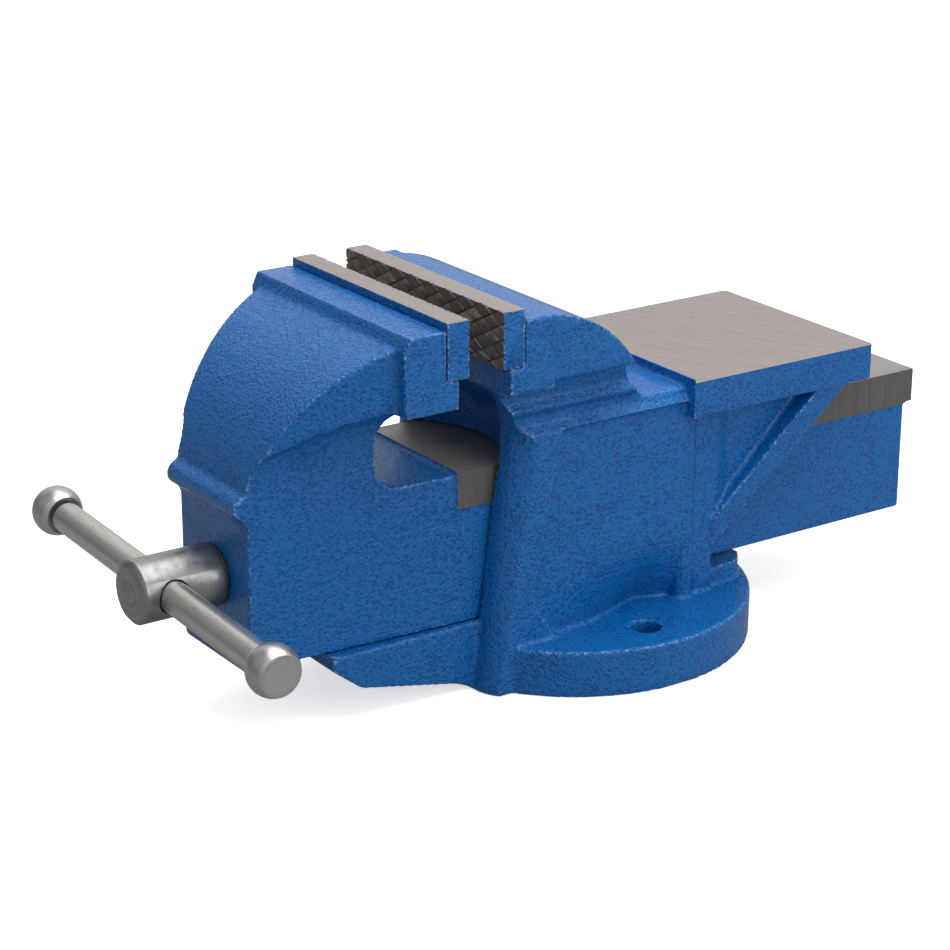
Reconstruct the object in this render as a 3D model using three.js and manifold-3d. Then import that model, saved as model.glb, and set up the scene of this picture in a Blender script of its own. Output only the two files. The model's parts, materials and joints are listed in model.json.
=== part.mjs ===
// Bench vise with a 150 mm jaw: fixed body on a round base, sliding jaw, screw and tommy bar.
// Millimetres, +Z up. Origin: centre of the round base on its underside. +Y points to the anvil,
// -Y to the handle, X runs along the jaws.
import * as THREE from 'three';
import { mergeVertices } from 'three/addons/utils/BufferGeometryUtils.js';
import Module from 'manifold-3d';

const wasm = await Module();
wasm.setup();

// ---------------------------------------------------------------- driving dimensions
const JAW_WIDTH = 150;
const JAW_GAP = 20.8;
const JAW_TOP = 218.3;
const PLATE_THICK = 13;
const PLATE_HEIGHT = 30.4;
const JAW_SETBACK = 98.3;
const HEAD_UNDERSIDE = 172.8;

const BASE_RADIUS = 102.3;
const BASE_THICK = 26.1;
const BOLT_OFFSET = 76.5;
const BOLT_HOLE_DIA = 17;
const BODY_WIDTH = 124;
const BODY_REAR = 57.7;

const SLIDE_WIDTH = 85.4;
const SLIDE_TOP = 124.5;
const SLIDE_BOTTOM = 39.4;
const SLIDE_WALL = 9.5;
const SLIDE_ROOF = 12;
const SLIDE_REAR = 216.5;
const NOSE_WIDTH = 71;
const NOSE_REACH = 228;
const FRONT_WALL = 17;

const ANVIL_WIDTH = 132;
const ANVIL_TOP = 154.7;
const ANVIL_THICK = 20.2;
const ANVIL_FRONT = 34.4;
const ANVIL_LENGTH = 128.4;
const POST_WIDTH = 112;
const GUSSET_FOOT = 53.6;

const SPINDLE_Z = 81.7;
const SPINDLE_DIA = 24;
const SPINDLE_END = 137;
const HEAD_DIA = 34;
const HEAD_LENGTH = 47.6;
const HANDLE_DIA = 17;
const HANDLE_SPAN = 230;
const HANDLE_SHIFT = -1.5;
const HANDLE_TILT = 2.34;
const KNOB_DIA = 27.4;

const CORE_WALL = 13;
const NUT_WIDTH = 40;
const NUT_LENGTH = 48;
const NUT_REAR = -14;
const NUT_BOLT_DIA = 12;
const SCREW_DIA = 8;
const SCREW_SPACING = 72;

// ---------------------------------------------------------------- clearances
const SEAT_GAP = 0.3;
const SLIDE_GAP = 0.5;
const THREAD_GAP = 0.4;
const JOURNAL_GAP = 0.3;
const HANDLE_GAP = 0.8;

// ---------------------------------------------------------------- derived places
const FACE_Y = -JAW_SETBACK;
const FIXED_BACK_Y = FACE_Y + PLATE_THICK;
const MOVING_FACE_Y = FACE_Y - JAW_GAP;
const MOVING_BACK_Y = MOVING_FACE_Y - PLATE_THICK;
const PLATE_BOTTOM = JAW_TOP - PLATE_HEIGHT;
const SCREW_Z = PLATE_BOTTOM + 9.6;
const BLOCK_FRONT_Y = FACE_Y + 4.15;
const BLOCK_REAR_Y = FIXED_BACK_Y + 19.7;
const FIXED_BLOCK_TOP = JAW_TOP - 5.5;
const MOVING_BLOCK_TOP = JAW_TOP - 4.1;
const MOVING_BLOCK_REAR_Y = MOVING_FACE_Y - 6.2;
const MOVING_BLOCK_FRONT_Y = MOVING_BACK_Y - 22.4;
const HALF_JAW = JAW_WIDTH / 2;
const HALF_SLIDE = SLIDE_WIDTH / 2;
const HALF_BODY = BODY_WIDTH / 2;
const HALF_PANEL = HALF_BODY - 4;
const HALF_POST = POST_WIDTH / 2;
const HALF_CHANNEL = HALF_SLIDE - SLIDE_WALL;
const CHANNEL_TOP = SLIDE_TOP - SLIDE_ROOF;
const HALF_SLOT = HALF_SLIDE + SLIDE_GAP;
const BED_TOP = SLIDE_BOTTOM - SLIDE_GAP;
const SLOT_TOP = SLIDE_TOP + SLIDE_GAP;
const PANEL_TOP = HEAD_UNDERSIDE - 29.8;
const NOSE_Y = MOVING_FACE_Y - (NOSE_REACH - JAW_SETBACK - JAW_GAP) + 1.7;
const WALL_BACK_Y = NOSE_Y + FRONT_WALL;
const HEAD_SPAN = MOVING_BLOCK_FRONT_Y - NOSE_Y;
const THROAT_FRONT_Y = MOVING_FACE_Y - 34.2;
const SPINDLE_R = SPINDLE_DIA / 2;
const HEAD_REAR_Y = NOSE_Y - 2;
const HEAD_FRONT_Y = HEAD_REAR_Y - HEAD_LENGTH;
const HANDLE_Y = HEAD_REAR_Y - HEAD_LENGTH * 0.63;
const HANDLE_R = HANDLE_DIA / 2;
const KNOB_R = KNOB_DIA / 2;
const TENON_R = HANDLE_R - 2.5;
const NUT_FRONT = NUT_REAR - NUT_LENGTH;
const NUT_MID = NUT_REAR - NUT_LENGTH / 2;
const NUT_TOP = SPINDLE_Z + SPINDLE_R + 9;
const SPRING_FRONT_Y = WALL_BACK_Y + SEAT_GAP;
const SPRING_LENGTH = 15;
const SPRING_WIRE = 3;
const COLLAR_Y = SPRING_FRONT_Y + SPRING_LENGTH + 2.6;
const COLLAR_LENGTH = 14;
const PIN_R = 2.5;

// ---------------------------------------------------------------- materials
const finish = (color, roughness, metalness) => ({ color, roughness, metalness });
const PAINT = finish(0x2f66a8, 0.38, 0.0);
const BRIGHT = finish(0xb9b7b4, 0.3, 1.0);
const DARK = finish(0x4c4a47, 0.5, 0.8);
const BRONZE = finish(0x8d7a5a, 0.45, 0.8);
const SPRING_STEEL = finish(0x5d6064, 0.4, 0.9);

// ---------------------------------------------------------------- solid helpers
function toSolid(geometry) {
  const bare = geometry.clone();
  bare.deleteAttribute('normal');
  bare.deleteAttribute('uv');
  const merged = mergeVertices(bare, 1e-4);
  const mesh = new wasm.Mesh({
    numProp: 3,
    vertProperties: new Float32Array(merged.attributes.position.array),
    triVerts: new Uint32Array(merged.index.array),
  });
  return new wasm.Manifold(mesh);
}

function toGeometry(solid) {
  const mesh = solid.getMesh();
  const geometry = new THREE.BufferGeometry();
  const position = new THREE.BufferAttribute(new Float32Array(mesh.vertProperties), 3);
  geometry.setAttribute('position', position);
  geometry.setIndex(new THREE.BufferAttribute(new Uint32Array(mesh.triVerts), 1));
  geometry.computeVertexNormals();
  return geometry;
}

function unite(solids) {
  return solids.reduce((sum, next) => sum.add(next));
}

function cut(solid, tools) {
  return tools.reduce((rest, tool) => rest.subtract(tool), solid);
}

function outline(points) {
  const shape = new THREE.Shape();
  points.forEach(([a, b], i) => {
    if (i === 0) shape.moveTo(a, b);
    else shape.lineTo(a, b);
  });
  shape.closePath();
  return shape;
}

// Replaces listed corners of a closed outline by arcs: each point is [a, b, radius].
function filleted(points, steps = 5) {
  const out = [];
  points.forEach(([a, b, radius = 0], i) => {
    const corner = new THREE.Vector2(a, b);
    if (radius <= 0) {
      out.push([a, b]);
      return;
    }
    const before = points[(i + points.length - 1) % points.length];
    const after = points[(i + 1) % points.length];
    const toPrev = new THREE.Vector2(before[0], before[1]).sub(corner);
    const toNext = new THREE.Vector2(after[0], after[1]).sub(corner);
    const half = toPrev.angleTo(toNext) / 2;
    const reach = Math.min(radius / Math.tan(half), toPrev.length() * 0.48, toNext.length() * 0.48);
    const r = reach * Math.tan(half);
    const p0 = corner.clone().add(toPrev.clone().setLength(reach));
    const p1 = corner.clone().add(toNext.clone().setLength(reach));
    const bisector = toPrev.clone().normalize().add(toNext.clone().normalize()).normalize();
    const centre = corner.clone().add(bisector.multiplyScalar(r / Math.sin(half)));
    const a0 = Math.atan2(p0.y - centre.y, p0.x - centre.x);
    let sweep = Math.atan2(p1.y - centre.y, p1.x - centre.x) - a0;
    if (sweep > Math.PI) sweep -= 2 * Math.PI;
    if (sweep < -Math.PI) sweep += 2 * Math.PI;
    for (let k = 0; k <= steps; k += 1) {
      const angle = a0 + (sweep * k) / steps;
      out.push([centre.x + r * Math.cos(angle), centre.y + r * Math.sin(angle)]);
    }
  });
  return out;
}

// Points of an arc about (a, b) from angle t0 to t1, in degrees.
function arc(a, b, radius, t0, t1, steps) {
  const out = [];
  for (let k = 0; k <= steps; k += 1) {
    const t = THREE.MathUtils.degToRad(t0 + ((t1 - t0) * k) / steps);
    out.push([a + radius * Math.cos(t), b + radius * Math.sin(t)]);
  }
  return out;
}

// Straight-line interpolation through [place, value] pairs, held at both ends.
function ramp(pairs, at) {
  if (at <= pairs[0][0]) return pairs[0][1];
  for (let i = 1; i < pairs.length; i += 1) {
    const [a, u] = pairs[i - 1];
    const [b, v] = pairs[i];
    if (at <= b) return u + ((v - u) * (at - a)) / (b - a);
  }
  return pairs[pairs.length - 1][1];
}

function mirrored(points) {
  const left = points.map(([x, z]) => [-x, z]).reverse();
  return points.concat(left);
}

function extruded(points, depth, steps = 1) {
  return new THREE.ExtrudeGeometry(outline(points), { depth, steps, bevelEnabled: false });
}

const BASIS_X = new THREE.Matrix4().makeBasis(
  new THREE.Vector3(0, 1, 0),
  new THREE.Vector3(0, 0, 1),
  new THREE.Vector3(1, 0, 0),
);
const BASIS_Y = new THREE.Matrix4().makeBasis(
  new THREE.Vector3(1, 0, 0),
  new THREE.Vector3(0, 0, 1),
  new THREE.Vector3(0, -1, 0),
);

function bent(geometry, bend) {
  const p = geometry.attributes.position;
  for (let i = 0; bend && i < p.count; i += 1) {
    const [x, y, z] = bend(p.getX(i), p.getY(i), p.getZ(i));
    p.setXYZ(i, x, y, z);
  }
  return geometry;
}

// A [y, z] outline extruded along X; bend may move each vertex.
function alongX(points, x0, x1, bend = null, steps = 1) {
  const geometry = extruded(points, x1 - x0, steps);
  geometry.applyMatrix4(BASIS_X);
  geometry.translate(x0, 0, 0);
  return toSolid(bent(geometry, bend));
}

// The same on either side of the middle plane, from |x| = inner to |x| = outer.
function alongSide(side, points, inner, outer, bend = null, steps = 1) {
  const x0 = Math.min(side * inner, side * outer);
  const x1 = Math.max(side * inner, side * outer);
  return alongX(points, x0, x1, bend, steps);
}

// An [x, z] outline extruded along Y; bend may move each vertex.
function alongY(points, y0, y1, steps = 1, bend = null) {
  const geometry = extruded(points, y1 - y0, steps);
  geometry.applyMatrix4(BASIS_Y);
  geometry.translate(0, y1, 0);
  return toSolid(bent(geometry, bend));
}

// An [x, y] outline extruded along Z.
function alongZ(points, z0, z1) {
  const geometry = extruded(points, z1 - z0);
  geometry.translate(0, 0, z0);
  return toSolid(geometry);
}

function box(x0, x1, y0, y1, z0, z1) {
  const geometry = new THREE.BoxGeometry(x1 - x0, y1 - y0, z1 - z0);
  geometry.translate((x0 + x1) / 2, (y0 + y1) / 2, (z0 + z1) / 2);
  return toSolid(geometry);
}

function rodY(radius, y0, y1, x = 0, z = 0, sides = 48) {
  const geometry = new THREE.CylinderGeometry(radius, radius, y1 - y0, sides);
  geometry.translate(x, (y0 + y1) / 2, z);
  return toSolid(geometry);
}

function rodZ(radius, z0, z1, x = 0, y = 0, sides = 48) {
  const geometry = new THREE.CylinderGeometry(radius, radius, z1 - z0, sides);
  geometry.rotateX(Math.PI / 2);
  geometry.translate(x, y, (z0 + z1) / 2);
  return toSolid(geometry);
}

function rodX(radius, x0, x1, y = 0, z = 0, sides = 48) {
  const geometry = new THREE.CylinderGeometry(radius, radius, x1 - x0, sides);
  geometry.rotateZ(-Math.PI / 2);
  geometry.translate((x0 + x1) / 2, y, z);
  return toSolid(geometry);
}

// A [radius, height] profile turned about its own axis, starting and ending on the axis.
function turned(profile, sides = 48) {
  const points = profile.map(([r, h]) => new THREE.Vector2(r, h));
  return new THREE.LatheGeometry(points, sides);
}

const group = new THREE.Group();
group.name = 'bench_vise';

function place(name, solid, look, parent = group) {
  const material = new THREE.MeshStandardMaterial(look);
  material.name = `${name}_material`;
  const geometry = solid.isBufferGeometry ? solid : toGeometry(solid);
  const mesh = new THREE.Mesh(geometry, material);
  mesh.name = name;
  parent.add(mesh);
  return mesh;
}

// ---------------------------------------------------------------- fixed casting
function neckSection() {
  const crown = FIXED_BLOCK_TOP + 3;
  const head = HALF_JAW - 2;
  const half = HALF_BODY;
  const cove = PANEL_TOP;
  const right = filleted([
    [half, 0],
    [half, cove, 1.5],
    [half - 4.5, cove + 4.5, 3],
    [half - 4.5, cove + 10, 3],
    [half, cove + 14.5, 2],
    [half - 4.5, cove + 20, 5],
    [half + 1, HEAD_UNDERSIDE + 1, 6],
    [head, HEAD_UNDERSIDE + 3.2, 1.5],
    [head, crown],
  ], 4);
  return mirrored(right);
}

// Front edge of the fixed body beside the slot as [y, z, rake]: rake is how far the surface falls
// back at the outer corner, as a share of the pillar's width.
function frontEdge() {
  const rise = SLOT_TOP + 7;
  return [
    [FACE_Y + 1.9, 0, 0.34],
    [FACE_Y + 18.7, rise, 0.6],
    [FACE_Y + 21, rise + 7, 0.56],
    [FACE_Y + 20.2, rise + 13, 0.36],
    [FACE_Y + 17.5, rise + 20, 0.1],
    [FACE_Y + 13.5, rise + 28, 0],
    [FACE_Y + 8.5, rise + 35.5, 0],
    [BLOCK_FRONT_Y, HEAD_UNDERSIDE, 0],
  ];
}

function bodySideProfile() {
  const crest = FIXED_BLOCK_TOP - 1;
  const radius = 72.8;
  const cz = crest - radius + 0.1;
  const shelf = ANVIL_TOP - 3.7;
  const cy = BLOCK_REAR_Y - 8.5;
  const low = THREE.MathUtils.radToDeg(Math.asin((shelf + 9 - cz) / radius));
  return [
    ...frontEdge().map(([y, z]) => [y, z]),
    [BLOCK_FRONT_Y, crest],
    ...arc(cy, cz, radius, 84, low, 14),
    [cy + radius + 2, shelf + 3.5],
    [cy + radius + 6.5, shelf],
    [BODY_REAR, shelf],
    [BODY_REAR, 0],
  ];
}

function fixedBlock() {
  const half = HALF_JAW + 0.8;
  return alongX(filleted([
    [BLOCK_FRONT_Y, HEAD_UNDERSIDE],
    [BLOCK_REAR_Y, HEAD_UNDERSIDE],
    [BLOCK_REAR_Y, FIXED_BLOCK_TOP, 1],
    [FACE_Y + 4.15, FIXED_BLOCK_TOP],
  ], 3), -half, half);
}

// The pillars' front faces curve back towards the outside.
function pillarRake(side) {
  const front = FACE_Y - 60;
  const rows = 24;
  const ledges = frontEdge().map(([y, z]) => [z, y]);
  const rakes = frontEdge().map(([, z, rake]) => [z, rake]);
  const points = [[front, -1]];
  for (let i = 0; i <= rows; i += 1) {
    const z = ((HEAD_UNDERSIDE + 1) * i) / rows - 1;
    points.push([ramp(ledges, z), z]);
  }
  points.push([front, HEAD_UNDERSIDE]);
  const width = HALF_BODY - HALF_SLIDE;
  return alongSide(side, points, HALF_SLIDE, HALF_BODY + 10, (x, y, z) => {
    const out = Math.max(0, Math.abs(x) - HALF_SLIDE) / width;
    const back = y > front + 1 ? ramp(rakes, z) * width * out ** 2.6 : 0;
    return [x, y + back, z];
  }, 9);
}

// The hollow under the fixed jaw, deepest over the middle of the slide.
function throatBowl() {
  const y0 = BLOCK_FRONT_Y - 8;
  const depth = FACE_Y + 38;
  const profile = alongX(filleted([
    [y0, SLOT_TOP - 4],
    [depth, SLOT_TOP - 4],
    [depth, SLOT_TOP + 19, 14],
    [depth - 16, HEAD_UNDERSIDE - 8, 16],
    [y0, HEAD_UNDERSIDE + 1],
  ], 5), -HALF_BODY, HALF_BODY);
  const radius = 61;
  return profile.intersect(rodZ(radius, 100, HEAD_UNDERSIDE + 5, 0, depth - radius, 64));
}

// Shallow panel on each side, and the rear post set back a little further.
function sidePanel(side) {
  const foot = BASE_THICK + 0.01;
  const points = filleted([
    [FACE_Y + 47, PANEL_TOP],
    [FACE_Y + 35, 76, 8],
    [FACE_Y + 30, 50, 10],
    [FACE_Y + 45, foot, 10],
    [BODY_REAR + 5, foot],
    [BODY_REAR + 5, PANEL_TOP],
  ], 4);
  const post = [
    [BODY_REAR - 20, PANEL_TOP],
    [BODY_REAR - 18, foot],
    [BODY_REAR + 5, foot],
    [BODY_REAR + 5, PANEL_TOP],
  ];
  return [
    alongSide(side, points, HALF_PANEL, HALF_BODY + 12),
    alongSide(side, post, HALF_POST, HALF_BODY + 12),
  ];
}

// Waist above the base that leaves room for the bolt heads: undercut by height, swept by length.
function waist(side) {
  const rise = [[66, 0], [58, 0.07], [50, 0.21], [43, 0.4], [36, 0.63], [30, 0.86], [BASE_THICK + 0.01, 1]];
  const sweep = [
    [FACE_Y + 47, 0],
    [FACE_Y + 65, 0.12],
    [FACE_Y + 81, 0.33],
    [FACE_Y + 96, 0.7],
    [FACE_Y + 108, 0.97],
    [FACE_Y + 113, 1],
    [FACE_Y + 119, 0.85],
    [FACE_Y + 126, 0.66],
    [FACE_Y + 137, 0.5],
    [FACE_Y + 144, 0.16],
    [FACE_Y + 165, 0.14],
  ];
  const out = HALF_BODY + 14;
  const depth = 16.5;
  const points = rise.map(([z, u]) => [side * (HALF_PANEL - depth * u), z]);
  points.push([side * out, BASE_THICK + 0.01], [side * out, 66]);
  return alongY(points, FACE_Y + 47, BODY_REAR + 5, 24, (x, y, z) => {
    if (Math.abs(x) > HALF_PANEL + 1) return [x, y, z];
    const cutIn = (HALF_PANEL + 0.02 - Math.abs(x)) * ramp(sweep, y);
    return [side * (HALF_PANEL + 0.02 - cutIn), y, z];
  });
}

// Raised bead where the panel meets the rear post.
function postBead(side) {
  return rodZ(6, BASE_THICK - 1, PANEL_TOP - 6, side * (HALF_POST - 3.4), FACE_Y + 137, 32);
}

// Rounds off the outer edges of the low shelf between the arch and the anvil.
function shelfEdge(side) {
  const shelf = ANVIL_TOP - 3.7;
  const points = [
    [HALF_BODY - 8, shelf + 0.1],
    [HALF_BODY - 2.5, shelf - 3],
    [HALF_BODY + 0.5, PANEL_TOP - 0.5],
    [HALF_BODY + 8, PANEL_TOP - 0.5],
    [HALF_BODY + 8, shelf + 0.1],
  ].map(([x, z]) => [side * x, z]);
  return alongY(points, FACE_Y + 104, ANVIL_FRONT);
}

function anvil() {
  const half = ANVIL_WIDTH / 2;
  const rear = ANVIL_FRONT + ANVIL_LENGTH;
  return alongZ(filleted([
    [-half, ANVIL_FRONT],
    [half, ANVIL_FRONT],
    [half, rear, 3],
    [-half, rear, 3],
  ], 4), ANVIL_TOP - ANVIL_THICK, ANVIL_TOP);
}

// Web from the rear post to the anvil, with a leaning rib along its free edge.
function gusset(side) {
  const top = ANVIL_TOP - ANVIL_THICK + 1;
  const inner = HALF_SLOT + 1.5;
  const reach = ANVIL_FRONT + ANVIL_LENGTH * 0.875;
  const web = alongSide(side, [
    [BODY_REAR - 10, GUSSET_FOOT - 6],
    [BODY_REAR, GUSSET_FOOT],
    [reach, top],
    [BODY_REAR - 10, top],
  ], inner, HALF_POST);
  const sunk = HALF_POST - 3.5;
  const hollow = alongZ([
    [HALF_POST + 1, BODY_REAR - 1],
    [sunk, BODY_REAR + 11],
    [sunk, reach + 5],
    [HALF_POST + 1, reach + 5],
  ].map(([x, y]) => [side * x, y]), GUSSET_FOOT - 10, top + 1);
  const lean = (x, y, z) => {
    if (Math.abs(x) < inner + 1) return [x, y, z];
    return [side * (HALF_POST + 1 + 0.1 * (z - GUSSET_FOOT)), y, z];
  };
  const rib = alongSide(side, filleted([
    [BODY_REAR, GUSSET_FOOT],
    [reach, top],
    [reach - 22, top],
    [reach - 28.5, top - 5.5, 4],
    [BODY_REAR + 4.2, GUSSET_FOOT + 22, 2],
    [BODY_REAR - 1, GUSSET_FOOT + 15],
    [BODY_REAR - 1, GUSSET_FOOT - 0.9],
  ], 4), inner, HALF_POST + 1, lean);
  return web.subtract(hollow).add(rib);
}

function tongue() {
  const half = HALF_SLIDE + 1.8;
  const y0 = FACE_Y - 84;
  return alongX(filleted([
    [y0, BED_TOP],
    [y0, 30.7, 3],
    [FACE_Y - 67, 17.6, 8],
    [FACE_Y - 8, 5.2, 6],
    [FACE_Y + 4, 0],
    [FACE_Y + 40, 0],
    [FACE_Y + 40, BED_TOP],
  ], 4), -half, half);
}

function rearShelf() {
  const y0 = BODY_REAR - 10;
  return alongZ(filleted([
    [-54, y0],
    [54, y0],
    [50, BODY_REAR + 24, 8],
    [40, BODY_REAR + 33, 8],
    [-40, BODY_REAR + 33, 8],
    [-50, BODY_REAR + 24, 8],
  ], 4), 5, BED_TOP - 2);
}

function plateScrewX() {
  return [-SCREW_SPACING / 2, SCREW_SPACING / 2];
}

// Core under the neck: tall below the fixed jaw, shallow towards the anvil, open to the slot.
function neckCore() {
  const half = HALF_SLOT - 9;
  const low = SLOT_TOP - 1;
  const shallow = ANVIL_TOP - 3.7 - CORE_WALL;
  const front = FACE_Y + 38 + CORE_WALL - 2;
  return alongX(filleted([
    [front, low],
    [front, HEAD_UNDERSIDE + 10, 8],
    [BLOCK_REAR_Y + 36, HEAD_UNDERSIDE + 10, 8],
    [BLOCK_REAR_Y + 50, shallow + 12, 8],
    [BLOCK_REAR_Y + 51, shallow, 6],
    [BODY_REAR - CORE_WALL, shallow, 6],
    [BODY_REAR - CORE_WALL, low],
  ], 4), -half, half);
}

// Pockets under the base, between its rim, the rib through the bolt holes and the nut's bolts.
function basePockets() {
  const deep = BASE_THICK / 2;
  const rim = BASE_RADIUS - CORE_WALL;
  const disc = rodZ(rim, -1, deep, 0, 0, 64);
  const boltRib = box(-BASE_RADIUS, BASE_RADIUS, -26, 19, -2, deep + 1);
  const spine = box(-22, 22, -BASE_RADIUS, 0, -2, deep + 1);
  return cut(disc, [boltRib, spine]);
}

function fixedBody() {
  const core = alongY(neckSection(), FACE_Y - 5, BODY_REAR)
    .intersect(alongX(bodySideProfile(), -HALF_JAW - 5, HALF_JAW + 5));
  const shaped = cut(core, [
    throatBowl(),
    ...[1, -1].flatMap((side) => [
      pillarRake(side), ...sidePanel(side), waist(side), shelfEdge(side),
    ]),
  ]);
  const disc = rodZ(BASE_RADIUS, 0, BASE_THICK, 0, 0, 96);
  const whole = unite([
    shaped, fixedBlock(), disc, tongue(), rearShelf(), anvil(),
    ...[1, -1].flatMap((side) => [postBead(side), gusset(side)]),
  ]);
  const seat = box(
    -HALF_JAW - 5, HALF_JAW + 5, FACE_Y - 5, FIXED_BACK_Y + SEAT_GAP,
    PLATE_BOTTOM - SEAT_GAP, JAW_TOP + 10,
  );
  const slot = box(-HALF_SLOT, HALF_SLOT, -300, 300, BED_TOP, SLOT_TOP);
  const holes = [1, -1].map((s) => rodZ(BOLT_HOLE_DIA / 2, -1, BASE_THICK + 1, s * BOLT_OFFSET, -3.8));
  const screwHoles = plateScrewX().map((x) => rodY(
    SCREW_DIA / 2 + SEAT_GAP, FIXED_BACK_Y - 2, FIXED_BACK_Y + 17, x, SCREW_Z, 24,
  ));
  const nutHoles = nutBoltY().flatMap((y) => [
    rodZ(NUT_BOLT_DIA / 2 + 0.75, -1, BED_TOP + 1, 0, y, 32),
    rodZ(NUT_BOLT_DIA * 1.17, -1, 14, 0, y, 40),
  ]);
  return cut(whole, [
    seat, slot, neckCore(), basePockets(), ...holes, ...screwHoles, ...nutHoles,
  ]);
}

// ---------------------------------------------------------------- jaw plates and their screws
function jawPlate(faceY, backY) {
  const y0 = Math.min(faceY, backY);
  const y1 = Math.max(faceY, backY);
  const inward = Math.sign(backY - faceY);
  const plate = box(-HALF_JAW, HALF_JAW, y0, y1, PLATE_BOTTOM, JAW_TOP);
  const tools = plateScrewX().flatMap((x) => {
    const headEnd = faceY + inward * 8.6;
    return [
      rodY(SCREW_DIA / 2 + SEAT_GAP, y0 - 1, y1 + 1, x, SCREW_Z, 24),
      rodY(SCREW_DIA * 0.8125 + SEAT_GAP, Math.min(faceY - inward, headEnd),
        Math.max(faceY - inward, headEnd), x, SCREW_Z, 32),
    ];
  });
  return cut(plate, tools);
}

// Socket-head screw, head at the jaw face, shank into the casting.
function plateScrew(faceY, inward, x) {
  const headR = SCREW_DIA * 0.8125;
  const span = (a, b, r, sides) => rodY(
    r, Math.min(faceY + inward * a, faceY + inward * b),
    Math.max(faceY + inward * a, faceY + inward * b), x, SCREW_Z, sides,
  );
  const screw = unite([span(0.4, 8.3, headR, 32), span(8, 28, SCREW_DIA / 2, 24)]);
  return screw.subtract(span(-1, 4.6, SCREW_DIA * 0.43, 6));
}

// ---------------------------------------------------------------- moving casting
function noseHalf(y) {
  const t = THREE.MathUtils.clamp((y - NOSE_Y) / (MOVING_FACE_Y + 14 - NOSE_Y), 0, 1);
  return NOSE_WIDTH / 2 + (HALF_SLIDE - NOSE_WIDTH / 2) * t;
}

function headHalf(y) {
  const t = THREE.MathUtils.clamp((y - NOSE_Y) / HEAD_SPAN, 0, 1.05);
  const full = HALF_JAW - 6.3;
  return NOSE_WIDTH / 2 + (full - NOSE_WIDTH / 2) * t ** 0.68;
}

function rimDrop(y) {
  const d = Math.max(0, MOVING_BLOCK_FRONT_Y - 5.1 - y);
  return 0.09 * d + 0.0036 * d * d;
}

// The fan-shaped head: flanks flare through a cove into the overhanging sides.
function headLoft() {
  const f = HALF_SLIDE;
  const g = HALF_JAW - 2;
  const rim = HEAD_UNDERSIDE + 2.2;
  const section = mirrored([
    [f, SPINDLE_Z + 18],
    [f, rim - 27],
    [f + (g - f) * 0.03, rim - 20],
    [f + (g - f) * 0.13, rim - 13],
    [f + (g - f) * 0.32, rim - 7.5],
    [f + (g - f) * 0.58, rim - 4],
    [f + (g - f) * 0.9, rim - 2.2],
    [g, rim],
    [g, JAW_TOP + 6],
  ]);
  const low = SPINDLE_Z + 19;
  const high = JAW_TOP + 5;
  const bend = (x, y, z) => {
    const a = (Math.abs(x) - f) / (g - f);
    const half = noseHalf(y) + (headHalf(y) - noseHalf(y)) * a;
    const drop = z > low && z < high ? rimDrop(y) : 0;
    return [Math.sign(x) * half, y, z - drop];
  };
  return alongY(section, NOSE_Y - 9, MOVING_BLOCK_REAR_Y, 18, bend);
}

function headSideProfile() {
  const radius = 102.1;
  const cy = NOSE_Y + radius - 4.5;
  const cz = SPINDLE_Z + 27.9;
  const top = MOVING_BLOCK_TOP - 5.7;
  const a0 = 180 - THREE.MathUtils.radToDeg(Math.asin(28.6 / radius));
  const a1 = 180 - THREE.MathUtils.radToDeg(Math.asin(Math.min(0.99, (top - cz) / radius)));
  return [
    [MOVING_BLOCK_REAR_Y, SPINDLE_Z + 19],
    [NOSE_Y, SPINDLE_Z + 19],
    ...filleted([
      [NOSE_Y, SPINDLE_Z + 22],
      [NOSE_Y, SPINDLE_Z + 37, 7],
      [NOSE_Y - 7.4, SPINDLE_Z + 42.5, 4],
      [NOSE_Y - 7.4, SPINDLE_Z + 49.5, 5],
      [NOSE_Y - 0.4, SPINDLE_Z + 54, 2],
      [NOSE_Y, SPINDLE_Z + 56],
    ], 4).slice(1, -1),
    ...arc(cy, cz, radius, a0, a1, 18),
    [MOVING_BLOCK_REAR_Y - 4, top],
    [MOVING_BLOCK_REAR_Y, top],
  ];
}

function movingBlock() {
  return alongX([
    [MOVING_BLOCK_FRONT_Y - 2.7, HEAD_UNDERSIDE - 0.3],
    [MOVING_BLOCK_REAR_Y, HEAD_UNDERSIDE - 0.3],
    [MOVING_BLOCK_REAR_Y, MOVING_BLOCK_TOP],
    [MOVING_BLOCK_FRONT_Y, MOVING_BLOCK_TOP],
    [MOVING_BLOCK_FRONT_Y - 3.2, MOVING_BLOCK_TOP - 7],
  ], -HALF_JAW, HALF_JAW);
}

function slideBeam() {
  const front = NOSE_Y;
  const flangeFront = MOVING_FACE_Y + 14;
  const half = NOSE_WIDTH / 2;
  const under = HALF_SLIDE - 0.4;
  const painted = alongZ([
    [-half, front],
    [half, front],
    [under, flangeFront],
    [under, SLIDE_REAR - 5.1],
    [-under, SLIDE_REAR - 5.1],
    [-under, flangeFront],
  ], SLIDE_BOTTOM, SLIDE_TOP - 1.2);
  const flange = box(-HALF_SLIDE, HALF_SLIDE, flangeFront, SLIDE_REAR, SLIDE_TOP - 19.5, SLIDE_TOP);
  const skirt = alongX(filleted([
    [front, SLIDE_BOTTOM + 12],
    [front, SLIDE_BOTTOM - 6, 5],
    [front + 18, SLIDE_BOTTOM - 6, 4],
    [front + 18, SLIDE_BOTTOM + 12],
  ], 4), -half, half);
  return unite([painted, flange, skirt]);
}

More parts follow.
